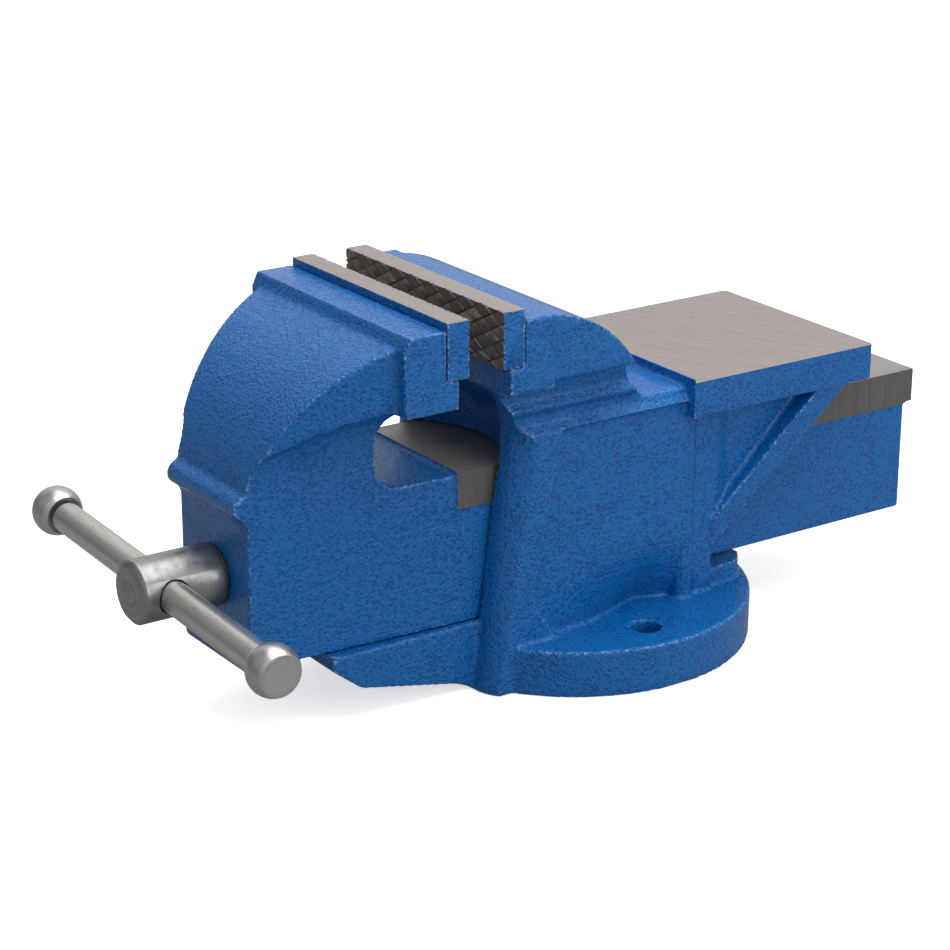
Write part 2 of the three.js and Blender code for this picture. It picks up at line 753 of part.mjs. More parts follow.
// Core inside the head, open to the channel below it.
function headCore() {
  const half = noseHalf(WALL_BACK_Y) - CORE_WALL + 3;
  const rear = THROAT_FRONT_Y - CORE_WALL;
  return alongX(filleted([
    [WALL_BACK_Y + 2, CHANNEL_TOP - 1],
    [WALL_BACK_Y + 2, SPINDLE_Z + 68, 8],
    [rear - 15, JAW_TOP - 35, 10],
    [rear, JAW_TOP - 30, 6],
    [rear, CHANNEL_TOP - 1],
  ], 4), -half, half);
}

// The slide's channel, narrower towards the front where the slide itself narrows.
function slideChannel() {
  const narrow = noseHalf(WALL_BACK_Y) - 8.5;
  const full = MOVING_FACE_Y + 14;
  return alongZ([
    [-narrow, WALL_BACK_Y],
    [narrow, WALL_BACK_Y],
    [HALF_CHANNEL, full],
    [HALF_CHANNEL, SLIDE_REAR + 5],
    [-HALF_CHANNEL, SLIDE_REAR + 5],
    [-HALF_CHANNEL, full],
  ], SLIDE_BOTTOM - 20, CHANNEL_TOP);
}

function movingJaw() {
  const head = headLoft().intersect(alongX(headSideProfile(), -90, 90));
  const throat = alongX(filleted([
    [THROAT_FRONT_Y, SLIDE_TOP - 1.2, 14],
    [MOVING_FACE_Y + 30, SLIDE_TOP - 1.2],
    [MOVING_FACE_Y + 30, HEAD_UNDERSIDE - 0.3],
    [THROAT_FRONT_Y, HEAD_UNDERSIDE - 0.3, 24],
  ], 7), -100, 100);
  const block = movingBlock();
  const solid = unite([cut(head, [throat]), slideBeam(), block]);
  const seat = box(
    -HALF_JAW - 5, HALF_JAW + 5, MOVING_BACK_Y - SEAT_GAP, MOVING_FACE_Y + 5,
    PLATE_BOTTOM - SEAT_GAP, JAW_TOP + 10,
  );
  const journal = rodY(
    SPINDLE_R + JOURNAL_GAP, NOSE_Y - 5, WALL_BACK_Y + 5, 0, SPINDLE_Z,
  );
  const screwHoles = plateScrewX().map((x) => rodY(
    SCREW_DIA / 2 + SEAT_GAP, MOVING_BACK_Y - 17, MOVING_BACK_Y + 2, x, SCREW_Z, 24,
  ));
  return cut(solid, [seat, slideChannel(), headCore(), journal, ...screwHoles]);
}

// ---------------------------------------------------------------- screw drive
function spindle() {
  const body = turned([
    [0, HEAD_FRONT_Y],
    [HEAD_DIA / 2 - 2.2, HEAD_FRONT_Y],
    [HEAD_DIA / 2, HEAD_FRONT_Y + 2.2],
    [HEAD_DIA / 2, HEAD_REAR_Y],
    [SPINDLE_R, HEAD_REAR_Y],
    [SPINDLE_R, SPINDLE_END - 2],
    [SPINDLE_R - 2, SPINDLE_END],
    [0, SPINDLE_END],
  ]);
  const pinY = COLLAR_Y + COLLAR_LENGTH / 2;
  const cross = rodX(HANDLE_R + HANDLE_GAP, -HEAD_DIA, HEAD_DIA, HANDLE_Y, 0, 40);
  const pinHole = rodX(PIN_R + SEAT_GAP, -HEAD_DIA, HEAD_DIA, pinY, 0, 24);
  return cut(toSolid(body), [cross, pinHole]);
}

function ringY(outer, inner, y0, y1, sides = 48) {
  return rodY(outer, y0, y1, 0, 0, sides).subtract(rodY(inner, y0 - 1, y1 + 1, 0, 0, sides));
}

function thrustWasher() {
  return ringY(SPINDLE_R + 4, SPINDLE_R + JOURNAL_GAP, HEAD_REAR_Y + SEAT_GAP, NOSE_Y - SEAT_GAP);
}

function springWasher() {
  const y0 = SPRING_FRONT_Y + SPRING_LENGTH + SEAT_GAP;
  return ringY(SPINDLE_R + 6, SPINDLE_R + JOURNAL_GAP, y0, y0 + 2);
}

class Coil extends THREE.Curve {
  constructor(radius, length, turns) {
    super();
    this.radius = radius;
    this.length = length;
    this.turns = turns;
  }

  getPoint(t, target = new THREE.Vector3()) {
    const angle = 2 * Math.PI * this.turns * t;
    return target.set(
      this.radius * Math.cos(angle), this.length * t, this.radius * Math.sin(angle),
    );
  }
}

function thrustSpring() {
  const wire = SPRING_WIRE / 2;
  const length = SPRING_LENGTH - 2 * wire - 0.6;
  const path = new Coil(SPINDLE_R + 1 + wire, length, 3);
  const ring = new THREE.Shape();
  ring.absarc(0, 0, wire, 0, 2 * Math.PI);
  const geometry = new THREE.ExtrudeGeometry(ring, {
    steps: 60, curveSegments: 4, bevelEnabled: false, extrudePath: path,
  });
  geometry.translate(0, SPRING_FRONT_Y + wire + 0.3, 0);
  return toSolid(geometry);
}

function collar() {
  const ring = ringY(SPINDLE_R + 7, SPINDLE_R + SEAT_GAP, COLLAR_Y, COLLAR_Y + COLLAR_LENGTH);
  return ring.subtract(
    rodX(PIN_R + SEAT_GAP, -HEAD_DIA, HEAD_DIA, COLLAR_Y + COLLAR_LENGTH / 2, 0, 24),
  );
}

function collarPin() {
  const half = SPINDLE_R + 6.5;
  return rodX(PIN_R, -half, half, COLLAR_Y + COLLAR_LENGTH / 2, 0, 24);
}

// ---------------------------------------------------------------- handle
function handleBar() {
  const shoulder = HANDLE_SPAN / 2 - 9.3;
  const tip = HANDLE_SPAN / 2 + 3;
  const profile = [
    [0, -tip],
    [TENON_R, -tip],
    [TENON_R, -shoulder],
    [HANDLE_R, -shoulder],
    [HANDLE_R, shoulder],
    [TENON_R, shoulder],
    [TENON_R, tip],
    [0, tip],
  ];
  const geometry = turned(profile, 40);
  geometry.rotateZ(-Math.PI / 2);
  return toSolid(geometry);
}

// Ball end with a flat outer face and a blind bore for the bar's turned-down end.
function knob(side) {
  const flat = 8;
  const inner = -9;
  const rOut = Math.sqrt(KNOB_R ** 2 - flat ** 2);
  const rIn = Math.sqrt(KNOB_R ** 2 - inner ** 2);
  const a0 = THREE.MathUtils.radToDeg(Math.atan2(inner, rIn));
  const a1 = THREE.MathUtils.radToDeg(Math.atan2(flat, rOut));
  const bore = TENON_R + SEAT_GAP;
  const geometry = turned([
    [0, 3.3],
    [bore, 3.3],
    [bore, inner],
    ...arc(0, 0, KNOB_R, a0, a1, 12),
    [0, flat],
  ], 40);
  geometry.rotateZ(-Math.PI / 2);
  if (side < 0) geometry.rotateY(Math.PI);
  geometry.translate((side * HANDLE_SPAN) / 2, 0, 0);
  return toSolid(geometry);
}

// ---------------------------------------------------------------- nut on the bed
function nutBoltY() {
  return [NUT_MID - NUT_LENGTH * 0.31, NUT_MID + NUT_LENGTH * 0.31];
}

function spindleNut() {
  const half = NUT_WIDTH / 2;
  const foot = HALF_CHANNEL - 4;
  const z0 = BED_TOP + SEAT_GAP;
  const block = alongY(filleted([
    [half, z0 + 12, 3],
    [half, SPINDLE_Z],
    [half, NUT_TOP, 12],
    [-half, NUT_TOP, 12],
    [-half, SPINDLE_Z],
    [-half, z0 + 12, 3],
    [-foot, z0 + 12],
    [-foot, z0],
    [foot, z0],
    [foot, z0 + 12],
  ], 5), NUT_FRONT, NUT_REAR);
  const bore = rodY(SPINDLE_R + THREAD_GAP, NUT_FRONT - 5, NUT_REAR + 5, 0, SPINDLE_Z);
  const taps = nutBoltY().map((y) => rodZ(
    NUT_BOLT_DIA / 2 + SEAT_GAP, z0 - 5, z0 + 22, 0, y, 32,
  ));
  return cut(block, [bore, ...taps]);
}

function nutBolt(y) {
  const head = rodZ(NUT_BOLT_DIA * 0.86, 2.6, 10.6, 0, y, 6);
  const shank = rodZ(NUT_BOLT_DIA / 2, 10, BED_TOP + 20, 0, y, 32);
  return head.add(shank);
}

function nutWasher(y) {
  const outer = rodZ(NUT_BOLT_DIA, 10.9, 13.7, 0, y, 40);
  return outer.subtract(rodZ(NUT_BOLT_DIA / 2 + 0.4, 10, 15, 0, y, 32));
}

// ---------------------------------------------------------------- assembly
place('fixed_body', fixedBody(), PAINT);
place('fixed_jaw_plate', jawPlate(FACE_Y, FIXED_BACK_Y), DARK);
place('moving_jaw', movingJaw(), PAINT);
place('moving_jaw_plate', jawPlate(MOVING_FACE_Y, MOVING_BACK_Y), DARK);
plateScrewX().forEach((x, i) => {
  const hand = i === 0 ? 'left' : 'right';
  place(`fixed_plate_screw_${hand}`, plateScrew(FACE_Y, 1, x), DARK);
  place(`moving_plate_screw_${hand}`, plateScrew(MOVING_FACE_Y, -1, x), DARK);
});

place('spindle_nut', spindleNut(), DARK);
nutBoltY().forEach((y, i) => {
  const end = i === 0 ? 'front' : 'rear';
  place(`nut_bolt_${end}`, nutBolt(y), DARK);
  place(`nut_washer_${end}`, nutWasher(y), BRIGHT);
});

const drive = new THREE.Group();
drive.name = 'screw_drive';
drive.position.set(0, 0, SPINDLE_Z);
drive.rotation.y = THREE.MathUtils.degToRad(HANDLE_TILT);
group.add(drive);
place('spindle', spindle(), BRIGHT, drive);
place('thrust_washer', thrustWasher(), BRONZE, drive);
place('thrust_spring', thrustSpring(), SPRING_STEEL, drive);
place('spring_washer', springWasher(), BRIGHT, drive);
place('retaining_collar', collar(), DARK, drive);
place('collar_pin', collarPin(), SPRING_STEEL, drive);

const tommy = new THREE.Group();
tommy.name = 'tommy_bar';
tommy.position.set(HANDLE_SHIFT, HANDLE_Y, 0);
drive.add(tommy);
place('handle_bar', handleBar(), BRIGHT, tommy);
place('handle_knob_left', knob(-1), BRIGHT, tommy);
place('handle_knob_right', knob(1), BRIGHT, tommy);

export default group;
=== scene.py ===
"""Bench vise: hammered enamel castings, ground faces, bright turned screw and tommy bar."""

import json
import math

import bmesh
import bpy
from bpy.props import FloatProperty, FloatVectorProperty, IntProperty, PointerProperty
from mathutils import Matrix, Vector


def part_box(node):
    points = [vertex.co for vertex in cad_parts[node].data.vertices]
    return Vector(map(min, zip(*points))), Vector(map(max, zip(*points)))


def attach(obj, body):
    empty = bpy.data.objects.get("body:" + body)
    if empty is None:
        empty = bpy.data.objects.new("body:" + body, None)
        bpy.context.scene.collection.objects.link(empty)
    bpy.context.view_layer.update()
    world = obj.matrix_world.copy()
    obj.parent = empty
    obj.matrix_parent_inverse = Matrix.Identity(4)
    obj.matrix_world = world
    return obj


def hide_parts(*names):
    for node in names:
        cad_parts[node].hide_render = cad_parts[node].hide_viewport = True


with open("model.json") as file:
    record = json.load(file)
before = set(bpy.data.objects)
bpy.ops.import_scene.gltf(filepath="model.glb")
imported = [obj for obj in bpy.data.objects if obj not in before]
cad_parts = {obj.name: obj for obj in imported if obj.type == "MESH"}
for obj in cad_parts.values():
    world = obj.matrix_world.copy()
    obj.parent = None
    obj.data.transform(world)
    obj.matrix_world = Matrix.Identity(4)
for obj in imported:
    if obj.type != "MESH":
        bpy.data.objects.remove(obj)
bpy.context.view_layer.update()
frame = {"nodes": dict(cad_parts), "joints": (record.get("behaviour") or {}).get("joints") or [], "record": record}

bl_info = {
    "name": "Bench Vise Builder",
    "version": (1, 0, 0),
    "blender": (4, 5, 0),
    "location": "View3D > Sidebar > Vise",
    "description": "Builds the pieces, finishes and stage of a cast bench vise",
    "category": "Object",
}

MM = 0.001
SMALL = 0.00002

# ------------------------------------------------------------------ places read from the frame
BODY_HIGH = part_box("fixed_body")[1]
JAW_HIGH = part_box("moving_jaw")[1]
FIXED_PLATE_LOW, FIXED_PLATE_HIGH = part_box("fixed_jaw_plate")
MOVING_PLATE_LOW, MOVING_PLATE_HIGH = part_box("moving_jaw_plate")
SPINDLE_LOW, SPINDLE_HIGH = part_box("spindle")
BAR_LOW, BAR_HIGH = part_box("handle_bar")
COLLAR_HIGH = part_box("retaining_collar")[1]

AXIS_Z = (SPINDLE_LOW.z + SPINDLE_HIGH.z) / 2
BAR_MIDDLE = (BAR_LOW + BAR_HIGH) / 2
BAR_AXIS = Vector(next(j["axis"] for j in frame["joints"] if j["name"] == "handle_slide"))
BAR_AXIS.normalize()
MOUNTS = {m["name"]: m for m in frame["record"]["mounts"]}
ANVIL_TOP = MOUNTS["anvil_face"]["pos_m"][2]

# ------------------------------------------------------------------ places inside the castings
ANVIL_FRONT = 34.4 * MM
SLOT_FLOOR = 37.5 * MM
SLIDE_HALF = 42.7 * MM
SLIDE_TOP = 124.5 * MM
CHANNEL_HALF = 34.0 * MM
CHANNEL_TOP = 113.2 * MM
# Rear face of the jaw's front wall.
WALL_BACK = -209.0 * MM
# The machined strip along the top of the slide's sides: its lower edge and its front end.
STRIP_LOW = 105.0 * MM
STRIP_FRONT = -105.1 * MM

SCREW_R = 12.0 * MM
HEAD_LENGTH = 47.6 * MM
BORE_R = 9.3 * MM
BAR_R = 8.5 * MM
# How far the bar's ends stop inside the ball ends, and a ball's centre from its inner face.
BAR_SHORT = 14.0 * MM
BALL_SEAT = 9.0 * MM

# Half the length of a cutter that has to clear the whole piece, and how far one runs past an end.
WIDE = 100.0 * MM
PAST = 20.0 * MM
CASTING_TRIANGLES = 150_000

CAMERA_PLACE = (1.1396, -0.8454, 0.6050)
# Turn about Z from straight in front, tilt above the level and roll, in degrees.
CAMERA_ANGLES = (55.57, 19.988, 0.146)


# ------------------------------------------------------------------ settings
class ViseShape(bpy.types.PropertyGroup):
    """Sizes of the details that the castings and steel pieces get."""

    grid: FloatProperty(
        name="Casting grid", description="Cell of the grid that the castings are remeshed on",
        default=1.15 * MM, min=0.6 * MM, max=4 * MM, subtype="DISTANCE", unit="LENGTH", precision=5,
    )
    softness: IntProperty(
        name="Casting softness", description="Rounds of smoothing over the cast edges",
        default=2, min=0, max=40,
    )
    stock: FloatProperty(
        name="Machining stock", description="Metal added on a face before it is machined flat",
        default=2.0 * MM, min=0, max=5 * MM, subtype="DISTANCE", unit="LENGTH", precision=5,
    )
    groove_pitch: FloatProperty(
        name="Jaw groove pitch", description="Distance between neighbouring jaw grooves",
        default=7.3 * MM, min=2 * MM, max=20 * MM, subtype="DISTANCE", unit="LENGTH", precision=5,
    )
    groove_width: FloatProperty(
        name="Jaw groove width", description="Width of a jaw groove at the face",
        default=1.25 * MM, min=0.2 * MM, max=4 * MM, subtype="DISTANCE", unit="LENGTH", precision=5,
    )
    groove_depth: FloatProperty(
        name="Jaw groove depth", description="Depth of a jaw groove",
        default=0.9 * MM, min=0.2 * MM, max=3 * MM, subtype="DISTANCE", unit="LENGTH", precision=5,
    )
    groove_angle: FloatProperty(
        name="Jaw groove angle", description="Slope of the grooves against the jaw's length",
        default=math.radians(27), min=0.1, max=1.4, subtype="ANGLE", unit="ROTATION",
    )
    thread_lead: FloatProperty(
        name="Thread lead", description="Travel of the screw in one turn",
        default=6 * MM, min=2 * MM, max=12 * MM, subtype="DISTANCE", unit="LENGTH", precision=5,
    )
    thread_depth: FloatProperty(
        name="Thread depth", description="Depth of the trapezoidal thread",
        default=2.8 * MM, min=0.5 * MM, max=5 * MM, subtype="DISTANCE", unit="LENGTH", precision=5,
    )


class VisePaint(bpy.types.PropertyGroup):
    """Colours of the finishes."""

    # Paler than the pits: the enamel's own blue with a painted sheen on its ridges.
    ridge_and_sheen: FloatVectorProperty(
        name="Enamel ridges", description="Colour of the enamel between its pits",
        default=(0.002, 0.128, 0.415, 1), size=4, min=0, max=1, subtype="COLOR",
    )
    pit: FloatVectorProperty(
        name="Enamel pits", description="Colour of the enamel in its pits",
        default=(0.0, 0.076, 0.3, 1), size=4, min=0, max=1, subtype="COLOR",
    )
    ground: FloatVectorProperty(
        name="Ground faces", description="Colour of the ground jaw tops and anvil",
        default=(0.32, 0.285, 0.27, 1), size=4, min=0, max=1, subtype="COLOR",
    )
    milled: FloatVectorProperty(
        name="Milled slide", description="Colour of the milled slide",
        default=(0.3, 0.275, 0.25, 1), size=4, min=0, max=1, subtype="COLOR",
    )
    bright: FloatVectorProperty(
        name="Bright steel", description="Colour of the screw head and tommy bar",
        default=(0.3, 0.296, 0.288, 1), size=4, min=0, max=1, subtype="COLOR",
    )


class ViseStage(bpy.types.PropertyGroup):
    """Camera and light."""

    lens: FloatProperty(
        name="Lens", description="Focal length of the camera",
        default=102.43, min=20, max=300, subtype="DISTANCE_CAMERA",
    )
    key: FloatProperty(
        name="Top light", description="Power of the large light overhead",
        default=16, min=0, max=500, unit="POWER",
    )
    side: FloatProperty(
        name="Side light", description="Power of the light to the right",
        default=6, min=0, max=500, unit="POWER",
    )
    room: FloatProperty(
        name="Room light", description="Strength of the light from all round",
        default=0.36, min=0, max=10,
    )


# ------------------------------------------------------------------ node building
class Wiring:
    """Adds nodes to one tree and links them."""

    def __init__(self, tree):
        self.tree = tree

    def add(self, kind, sockets=None, **settings):
        node = self.tree.nodes.new(kind)
        for name, value in settings.items():
            setattr(node, name, value)
        for key, value in (sockets or {}).items():
            self.feed(node.inputs[key], value)
        return node

    def feed(self, socket, value):
        if isinstance(value, bpy.types.NodeSocket):
            self.tree.links.new(value, socket)
        elif value is not None:
            socket.default_value = value

    def math(self, operation, first, second=None, clamp=False):
        node = self.add("ShaderNodeMath", operation=operation, use_clamp=clamp)
        for slot, value in zip(node.inputs, (first, second)):
            self.feed(slot, value)
        return node.outputs[0]

    def vector(self, operation, first, second=None, scale=None):
        node = self.add("ShaderNodeVectorMath", operation=operation)
        self.feed(node.inputs[0], first)
        if second is not None:
            self.feed(node.inputs[1], second)
        if scale is not None:
            self.feed(node.inputs["Scale"], scale)
        return node.outputs["Value"] if operation in {"LENGTH", "DOT_PRODUCT"} else node.outputs[0]

    def blend(self, share, first, second):
        """One colour turning into another as share goes from 0 to 1."""
        node = self.add("ShaderNodeMix", data_type="RGBA")
        self.feed(node.inputs[0], share)
        self.feed(node.inputs[6], first)
        self.feed(node.inputs[7], second)
        return node.outputs[2]

    def between(self, share, first, second):
        """One number turning into another as share goes from 0 to 1."""
        node = self.add("ShaderNodeMix", data_type="FLOAT")
        self.feed(node.inputs[0], share)
        self.feed(node.inputs[2], first)
        self.feed(node.inputs[3], second)
        return node.outputs[0]

    def step(self, value, low, high, to_low=0.0, to_high=1.0):
        """A soft step from to_low, where value is low, to to_high, where it is high."""
        node = self.add("ShaderNodeMapRange", interpolation_type="SMOOTHSTEP")
        for name, given in (
            ("Value", value), ("From Min", low), ("From Max", high),
            ("To Min", to_low), ("To Max", to_high),
        ):
            self.feed(node.inputs[name], given)
        return node.outputs[0]

    def noise(self, place, scale, detail=2.0, roughness=0.5):
        return self.add("ShaderNodeTexNoise", {
            "Vector": place, "Scale": scale, "Detail": detail, "Roughness": roughness,
        })

    def cloud(self, place, scale, detail=2.0, roughness=0.5):
        """The noise's value alone."""
        return self.noise(place, scale, detail, roughness).outputs["Fac"]

    def split(self, place):
        return self.add("ShaderNodeSeparateXYZ", {0: place}).outputs

    def join(self, x, y, z):
        return self.add("ShaderNodeCombineXYZ", {0: x, 1: y, 2: z}).outputs[0]


SOCKET_KINDS = {"value": "NodeSocketFloat", "colour": "NodeSocketColor", "vector": "NodeSocketVector"}


def new_group(name, inputs, outputs):
    """A shader group with named sockets: inputs are (name, kind, default), outputs (name, kind)."""
    tree = bpy.data.node_groups.new(name, "ShaderNodeTree")
    for label, kind, default in inputs:
        socket = tree.interface.new_socket(name=label, in_out="INPUT", socket_type=SOCKET_KINDS[kind])
        if default is not None:
            socket.default_value = default
    for label, kind in outputs:
        tree.interface.new_socket(name=label, in_out="OUTPUT", socket_type=SOCKET_KINDS[kind])
    wires = Wiring(tree)
    return tree, wires, wires.add("NodeGroupInput").outputs, wires.add("NodeGroupOutput").inputs


def group_once(name, build):
    """The shader group of that name, built the first time it is asked for."""
    return bpy.data.node_groups.get(name) or build(name)


def enamel_group(name):
    """Hammered enamel: small dark pits, round or drawn into worms, in a paler rippled skin; the skin's paler
    colour is a painted sheen over the deeper blue that the pits show.
    """
    tree, w, given, out = new_group(
        name,
        [("Vector", "vector", None), ("Pit Size", "value", 2.15),
         ("Ridge Colour", "colour", (0.04, 0.12, 0.36, 1)),
         ("Pit Colour", "colour", (0.0, 0.05, 0.26, 1))],
        [("Colour", "colour"), ("Roughness", "value"), ("Height", "value")],
    )
    place = given["Vector"]
    drift = w.noise(place, 330.0, 2.0)
    shift = w.vector("SCALE", w.vector("SUBTRACT", drift.outputs["Color"], (0.5, 0.5, 0.5)), scale=0.0022)
    warped = w.vector("ADD", place, shift)
    cells = w.math("DIVIDE", 1000.0, given["Pit Size"])
    dots = w.add("ShaderNodeTexVoronoi", {"Vector": warped, "Scale": cells}, feature="F1")
    patches = w.cloud(place, 60.0, 2.0)
    reach = w.step(patches, 0.3, 0.7, 0.32, 0.46)
    inner, outer = w.math("SUBTRACT", reach, 0.1), w.math("ADD", reach, 0.08)
    pit = w.step(dots.outputs["Distance"], inner, outer, 1.0, 0.0)
    ripple = w.cloud(warped, 600.0, 2.0, 0.55)
    swell = w.cloud(place, 110.0, 2.0)
    tone = w.math("MULTIPLY", w.math("SUBTRACT", w.cloud(place, 24.0, 3.0), 0.5), 0.35)
    # The pits show the enamel's own deeper blue; the paler skin between them is a painted sheen.
    share = w.math("ADD", w.math("MULTIPLY", pit, 0.95), tone, clamp=True)
    colour = w.blend(share, given["Ridge Colour"], given["Pit Colour"])
    rough = w.step(ripple, 0.25, 0.75, 0.14, 0.26)
    height = w.math("MULTIPLY", w.math("SUBTRACT", 1.0, pit), 0.5)
    height = w.math("ADD", height, w.math("MULTIPLY", ripple, 1.7))
    height = w.math("ADD", height, w.math("MULTIPLY", swell, 1.4))
    w.feed(out["Colour"], colour)
    w.feed(out["Roughness"], rough)
    w.feed(out["Height"], height)
    return tree


def edge_wear_and_highlight_group(name):
    """Outward edges, found from the surface's own curvature; they carry paint chips and a painted highlight."""
    tree, w, given, out = new_group(
        name, [("Low", "value", 0.515), ("High", "value", 0.58)], [("Edge", "value")],
    )
    bend = w.add("ShaderNodeNewGeometry").outputs["Pointiness"]
    w.feed(out["Edge"], w.step(bend, given["Low"], given["High"]))
    return tree


def box_edge_group(name):
    """Edges of an upright block between two corners."""
    tree, w, given, out = new_group(
        name,
        [("Vector", "vector", None), ("Low", "vector", (0, 0, 0)), ("High", "vector", (1, 1, 1)),
         ("Width", "value", 1.0)],
        [("Edge", "value")],
    )
    from_low = w.vector("SUBTRACT", given["Vector"], given["Low"])
    from_high = w.vector("SUBTRACT", given["High"], given["Vector"])
    near = w.split(w.vector("ABSOLUTE", w.vector("MINIMUM", from_low, from_high)))
    least = w.math("MINIMUM", near[0], near[1])
    most = w.math("MAXIMUM", near[0], near[1])
    middle = w.math("MAXIMUM", least, w.math("MINIMUM", most, near[2]))
    w.feed(out["Edge"], w.step(middle, 0.0, w.math("MULTIPLY", given["Width"], MM), 1.0, 0.0))
    return tree


def chips_and_glints_group(name):
    """Where paint has chipped off, and fine glints along an edge, which are a painted highlight."""
    tree, w, given, out = new_group(
        name,
        [("Vector", "vector", None), ("Edge", "value", 0.0), ("Amount", "value", 0.5),
         ("Size", "value", 3.0)],
        [("Mask", "value"), ("Painted Glint", "value")],
    )
    scale = w.math("DIVIDE", 1000.0, given["Size"])
    ragged = w.cloud(given["Vector"], scale, 4.0, 0.65)
    limit = w.math("SUBTRACT", 1.1, w.math("MULTIPLY", given["Amount"], 0.5))
    worn = w.math("ADD", w.math("MULTIPLY", given["Edge"], 0.45), w.math("MULTIPLY", ragged, 0.9))
    # Near-white specks on the edges: a painted highlight.
    sparks = w.cloud(given["Vector"], 520.0, 2.0, 0.6)
    w.feed(out["Mask"], w.step(worn, limit, w.math("ADD", limit, 0.04)))
    w.feed(out["Painted Glint"], w.math("MULTIPLY", w.step(sparks, 0.52, 0.6), given["Edge"]))
    return tree


def grinding_group(name):
    """Ground metal: fine lines along the vector's Y, faint stains and pin holes."""
    tree, w, given, out = new_group(
        name,
        [("Vector", "vector", None), ("Line Width", "value", 0.5), ("Contrast", "value", 0.5),
         ("Metal Colour", "colour", (0.4, 0.37, 0.34, 1)),
         ("Stain Colour", "colour", (0.30, 0.22, 0.18, 1))],
        [("Colour", "colour"), ("Roughness", "value"), ("Height", "value")],
    )
    fine = w.math("DIVIDE", 1000.0, given["Line Width"])
    along = w.vector("MULTIPLY", given["Vector"], (1.0, 0.035, 1.0))
    lines = w.cloud(along, fine, 3.0, 0.6)
    broad = w.cloud(along, w.math("MULTIPLY", fine, 0.22), 2.0)
    clouds = w.cloud(given["Vector"], 38.0, 4.0, 0.6)
    holes = w.add("ShaderNodeTexVoronoi", {"Vector": given["Vector"], "Scale": 110.0}, feature="F1")
    hole = w.step(holes.outputs["Distance"], 0.05, 0.09, 1.0, 0.0)
    tone = w.math("ADD", w.math("MULTIPLY", lines, 0.6), w.math("MULTIPLY", broad, 0.4))
    shade = w.step(tone, 0.3, 0.7, 0.78, 1.14)
    shade = w.between(given["Contrast"], 1.0, shade)
    grey = w.vector("SCALE", given["Metal Colour"], scale=shade)
    stained = w.blend(w.step(clouds, 0.5, 0.78, 0.0, 0.35), grey, given["Stain Colour"])
    pitted = w.blend(w.math("MULTIPLY", hole, 0.6), stained, (0.05, 0.04, 0.035, 1))
    w.feed(out["Colour"], pitted)
    w.feed(out["Roughness"], w.step(tone, 0.3, 0.7, 0.5, 0.34))
    w.feed(out["Height"], w.math("SUBTRACT", tone, w.math("MULTIPLY", hole, 1.5)))
    return tree


def milling_group(name):
    """Overlapping arcs that a face mill leaves as it travels along Y."""
    tree, w, given, out = new_group(
        name,
        [("Vector", "vector", None), ("Radius", "value", 45.0), ("Feed", "value", 1.6)],
        [("Height", "value"), ("Tone", "value")],
    )
    axes = w.split(given["Vector"])
    radius = w.math("MULTIPLY", given["Radius"], MM)
    side = w.math("ADD", axes[0], 0.012)
    bow = w.math("SUBTRACT", w.math("MULTIPLY", radius, radius), w.math("MULTIPLY", side, side))
    front = w.math("ADD", axes[1], w.math("SQRT", w.math("MAXIMUM", bow, 0.0)))
    wander = w.cloud(given["Vector"], 30.0, 1.0)
    front = w.math("ADD", front, w.math("MULTIPLY", wander, 0.0012))
    turns = w.math("DIVIDE", front, w.math("MULTIPLY", given["Feed"], MM))
    wave = w.math("SINE", w.math("MULTIPLY", turns, 2 * math.pi))
    uneven = w.cloud(w.join(turns, 0.0, 0.0), 0.9, 3.0)
    both = w.math("ADD", w.math("MULTIPLY", wave, 0.3), uneven)
    w.feed(out["Height"], both)
    w.feed(out["Tone"], w.step(both, 0.2, 0.9))
    return tree


def turning_group(name):
    """Turned steel: fine rings about the vector's Z, with soft mottling."""
    tree, w, given, out = new_group(
        name,
        [("Vector", "vector", None), ("Ring Width", "value", 0.35), ("Mottle", "value", 0.5),
         ("Metal Colour", "colour", (0.5, 0.49, 0.47, 1))],
        [("Colour", "colour"), ("Roughness", "value"), ("Height", "value")],
    )
    axes = w.split(given["Vector"])
    squares = w.math("ADD", w.math("MULTIPLY", axes[0], axes[0]), w.math("MULTIPLY", axes[1], axes[1]))
    radial = w.math("SQRT", squares)
    flat = w.join(radial, 0.0, axes[2])
    fine = w.math("DIVIDE", 1000.0, given["Ring Width"])
    rings = w.cloud(flat, fine, 2.0, 0.6)
    broad = w.cloud(flat, w.math("MULTIPLY", fine, 0.15), 2.0)
    clouds = w.cloud(given["Vector"], 130.0, 4.0, 0.65)
    specks = w.cloud(given["Vector"], 900.0, 1.0)
    tone = w.math("ADD", w.math("MULTIPLY", rings, 0.7), w.math("MULTIPLY", broad, 0.3))
    shade = w.step(tone, 0.32, 0.68, 0.76, 1.16)
    mottled = w.step(clouds, 0.3, 0.75, 1.12, 0.72)
    shade = w.math("MULTIPLY", shade, w.between(given["Mottle"], 1.0, mottled))
    w.feed(out["Colour"], w.vector("SCALE", given["Metal Colour"], scale=shade))
    rough = w.step(clouds, 0.3, 0.7, 0.24, 0.42)
    w.feed(out["Roughness"], w.math("ADD", rough, w.math("MULTIPLY", specks, 0.06)))
    w.feed(out["Height"], w.math("ADD", tone, w.math("MULTIPLY", clouds, 0.5)))
    return tree


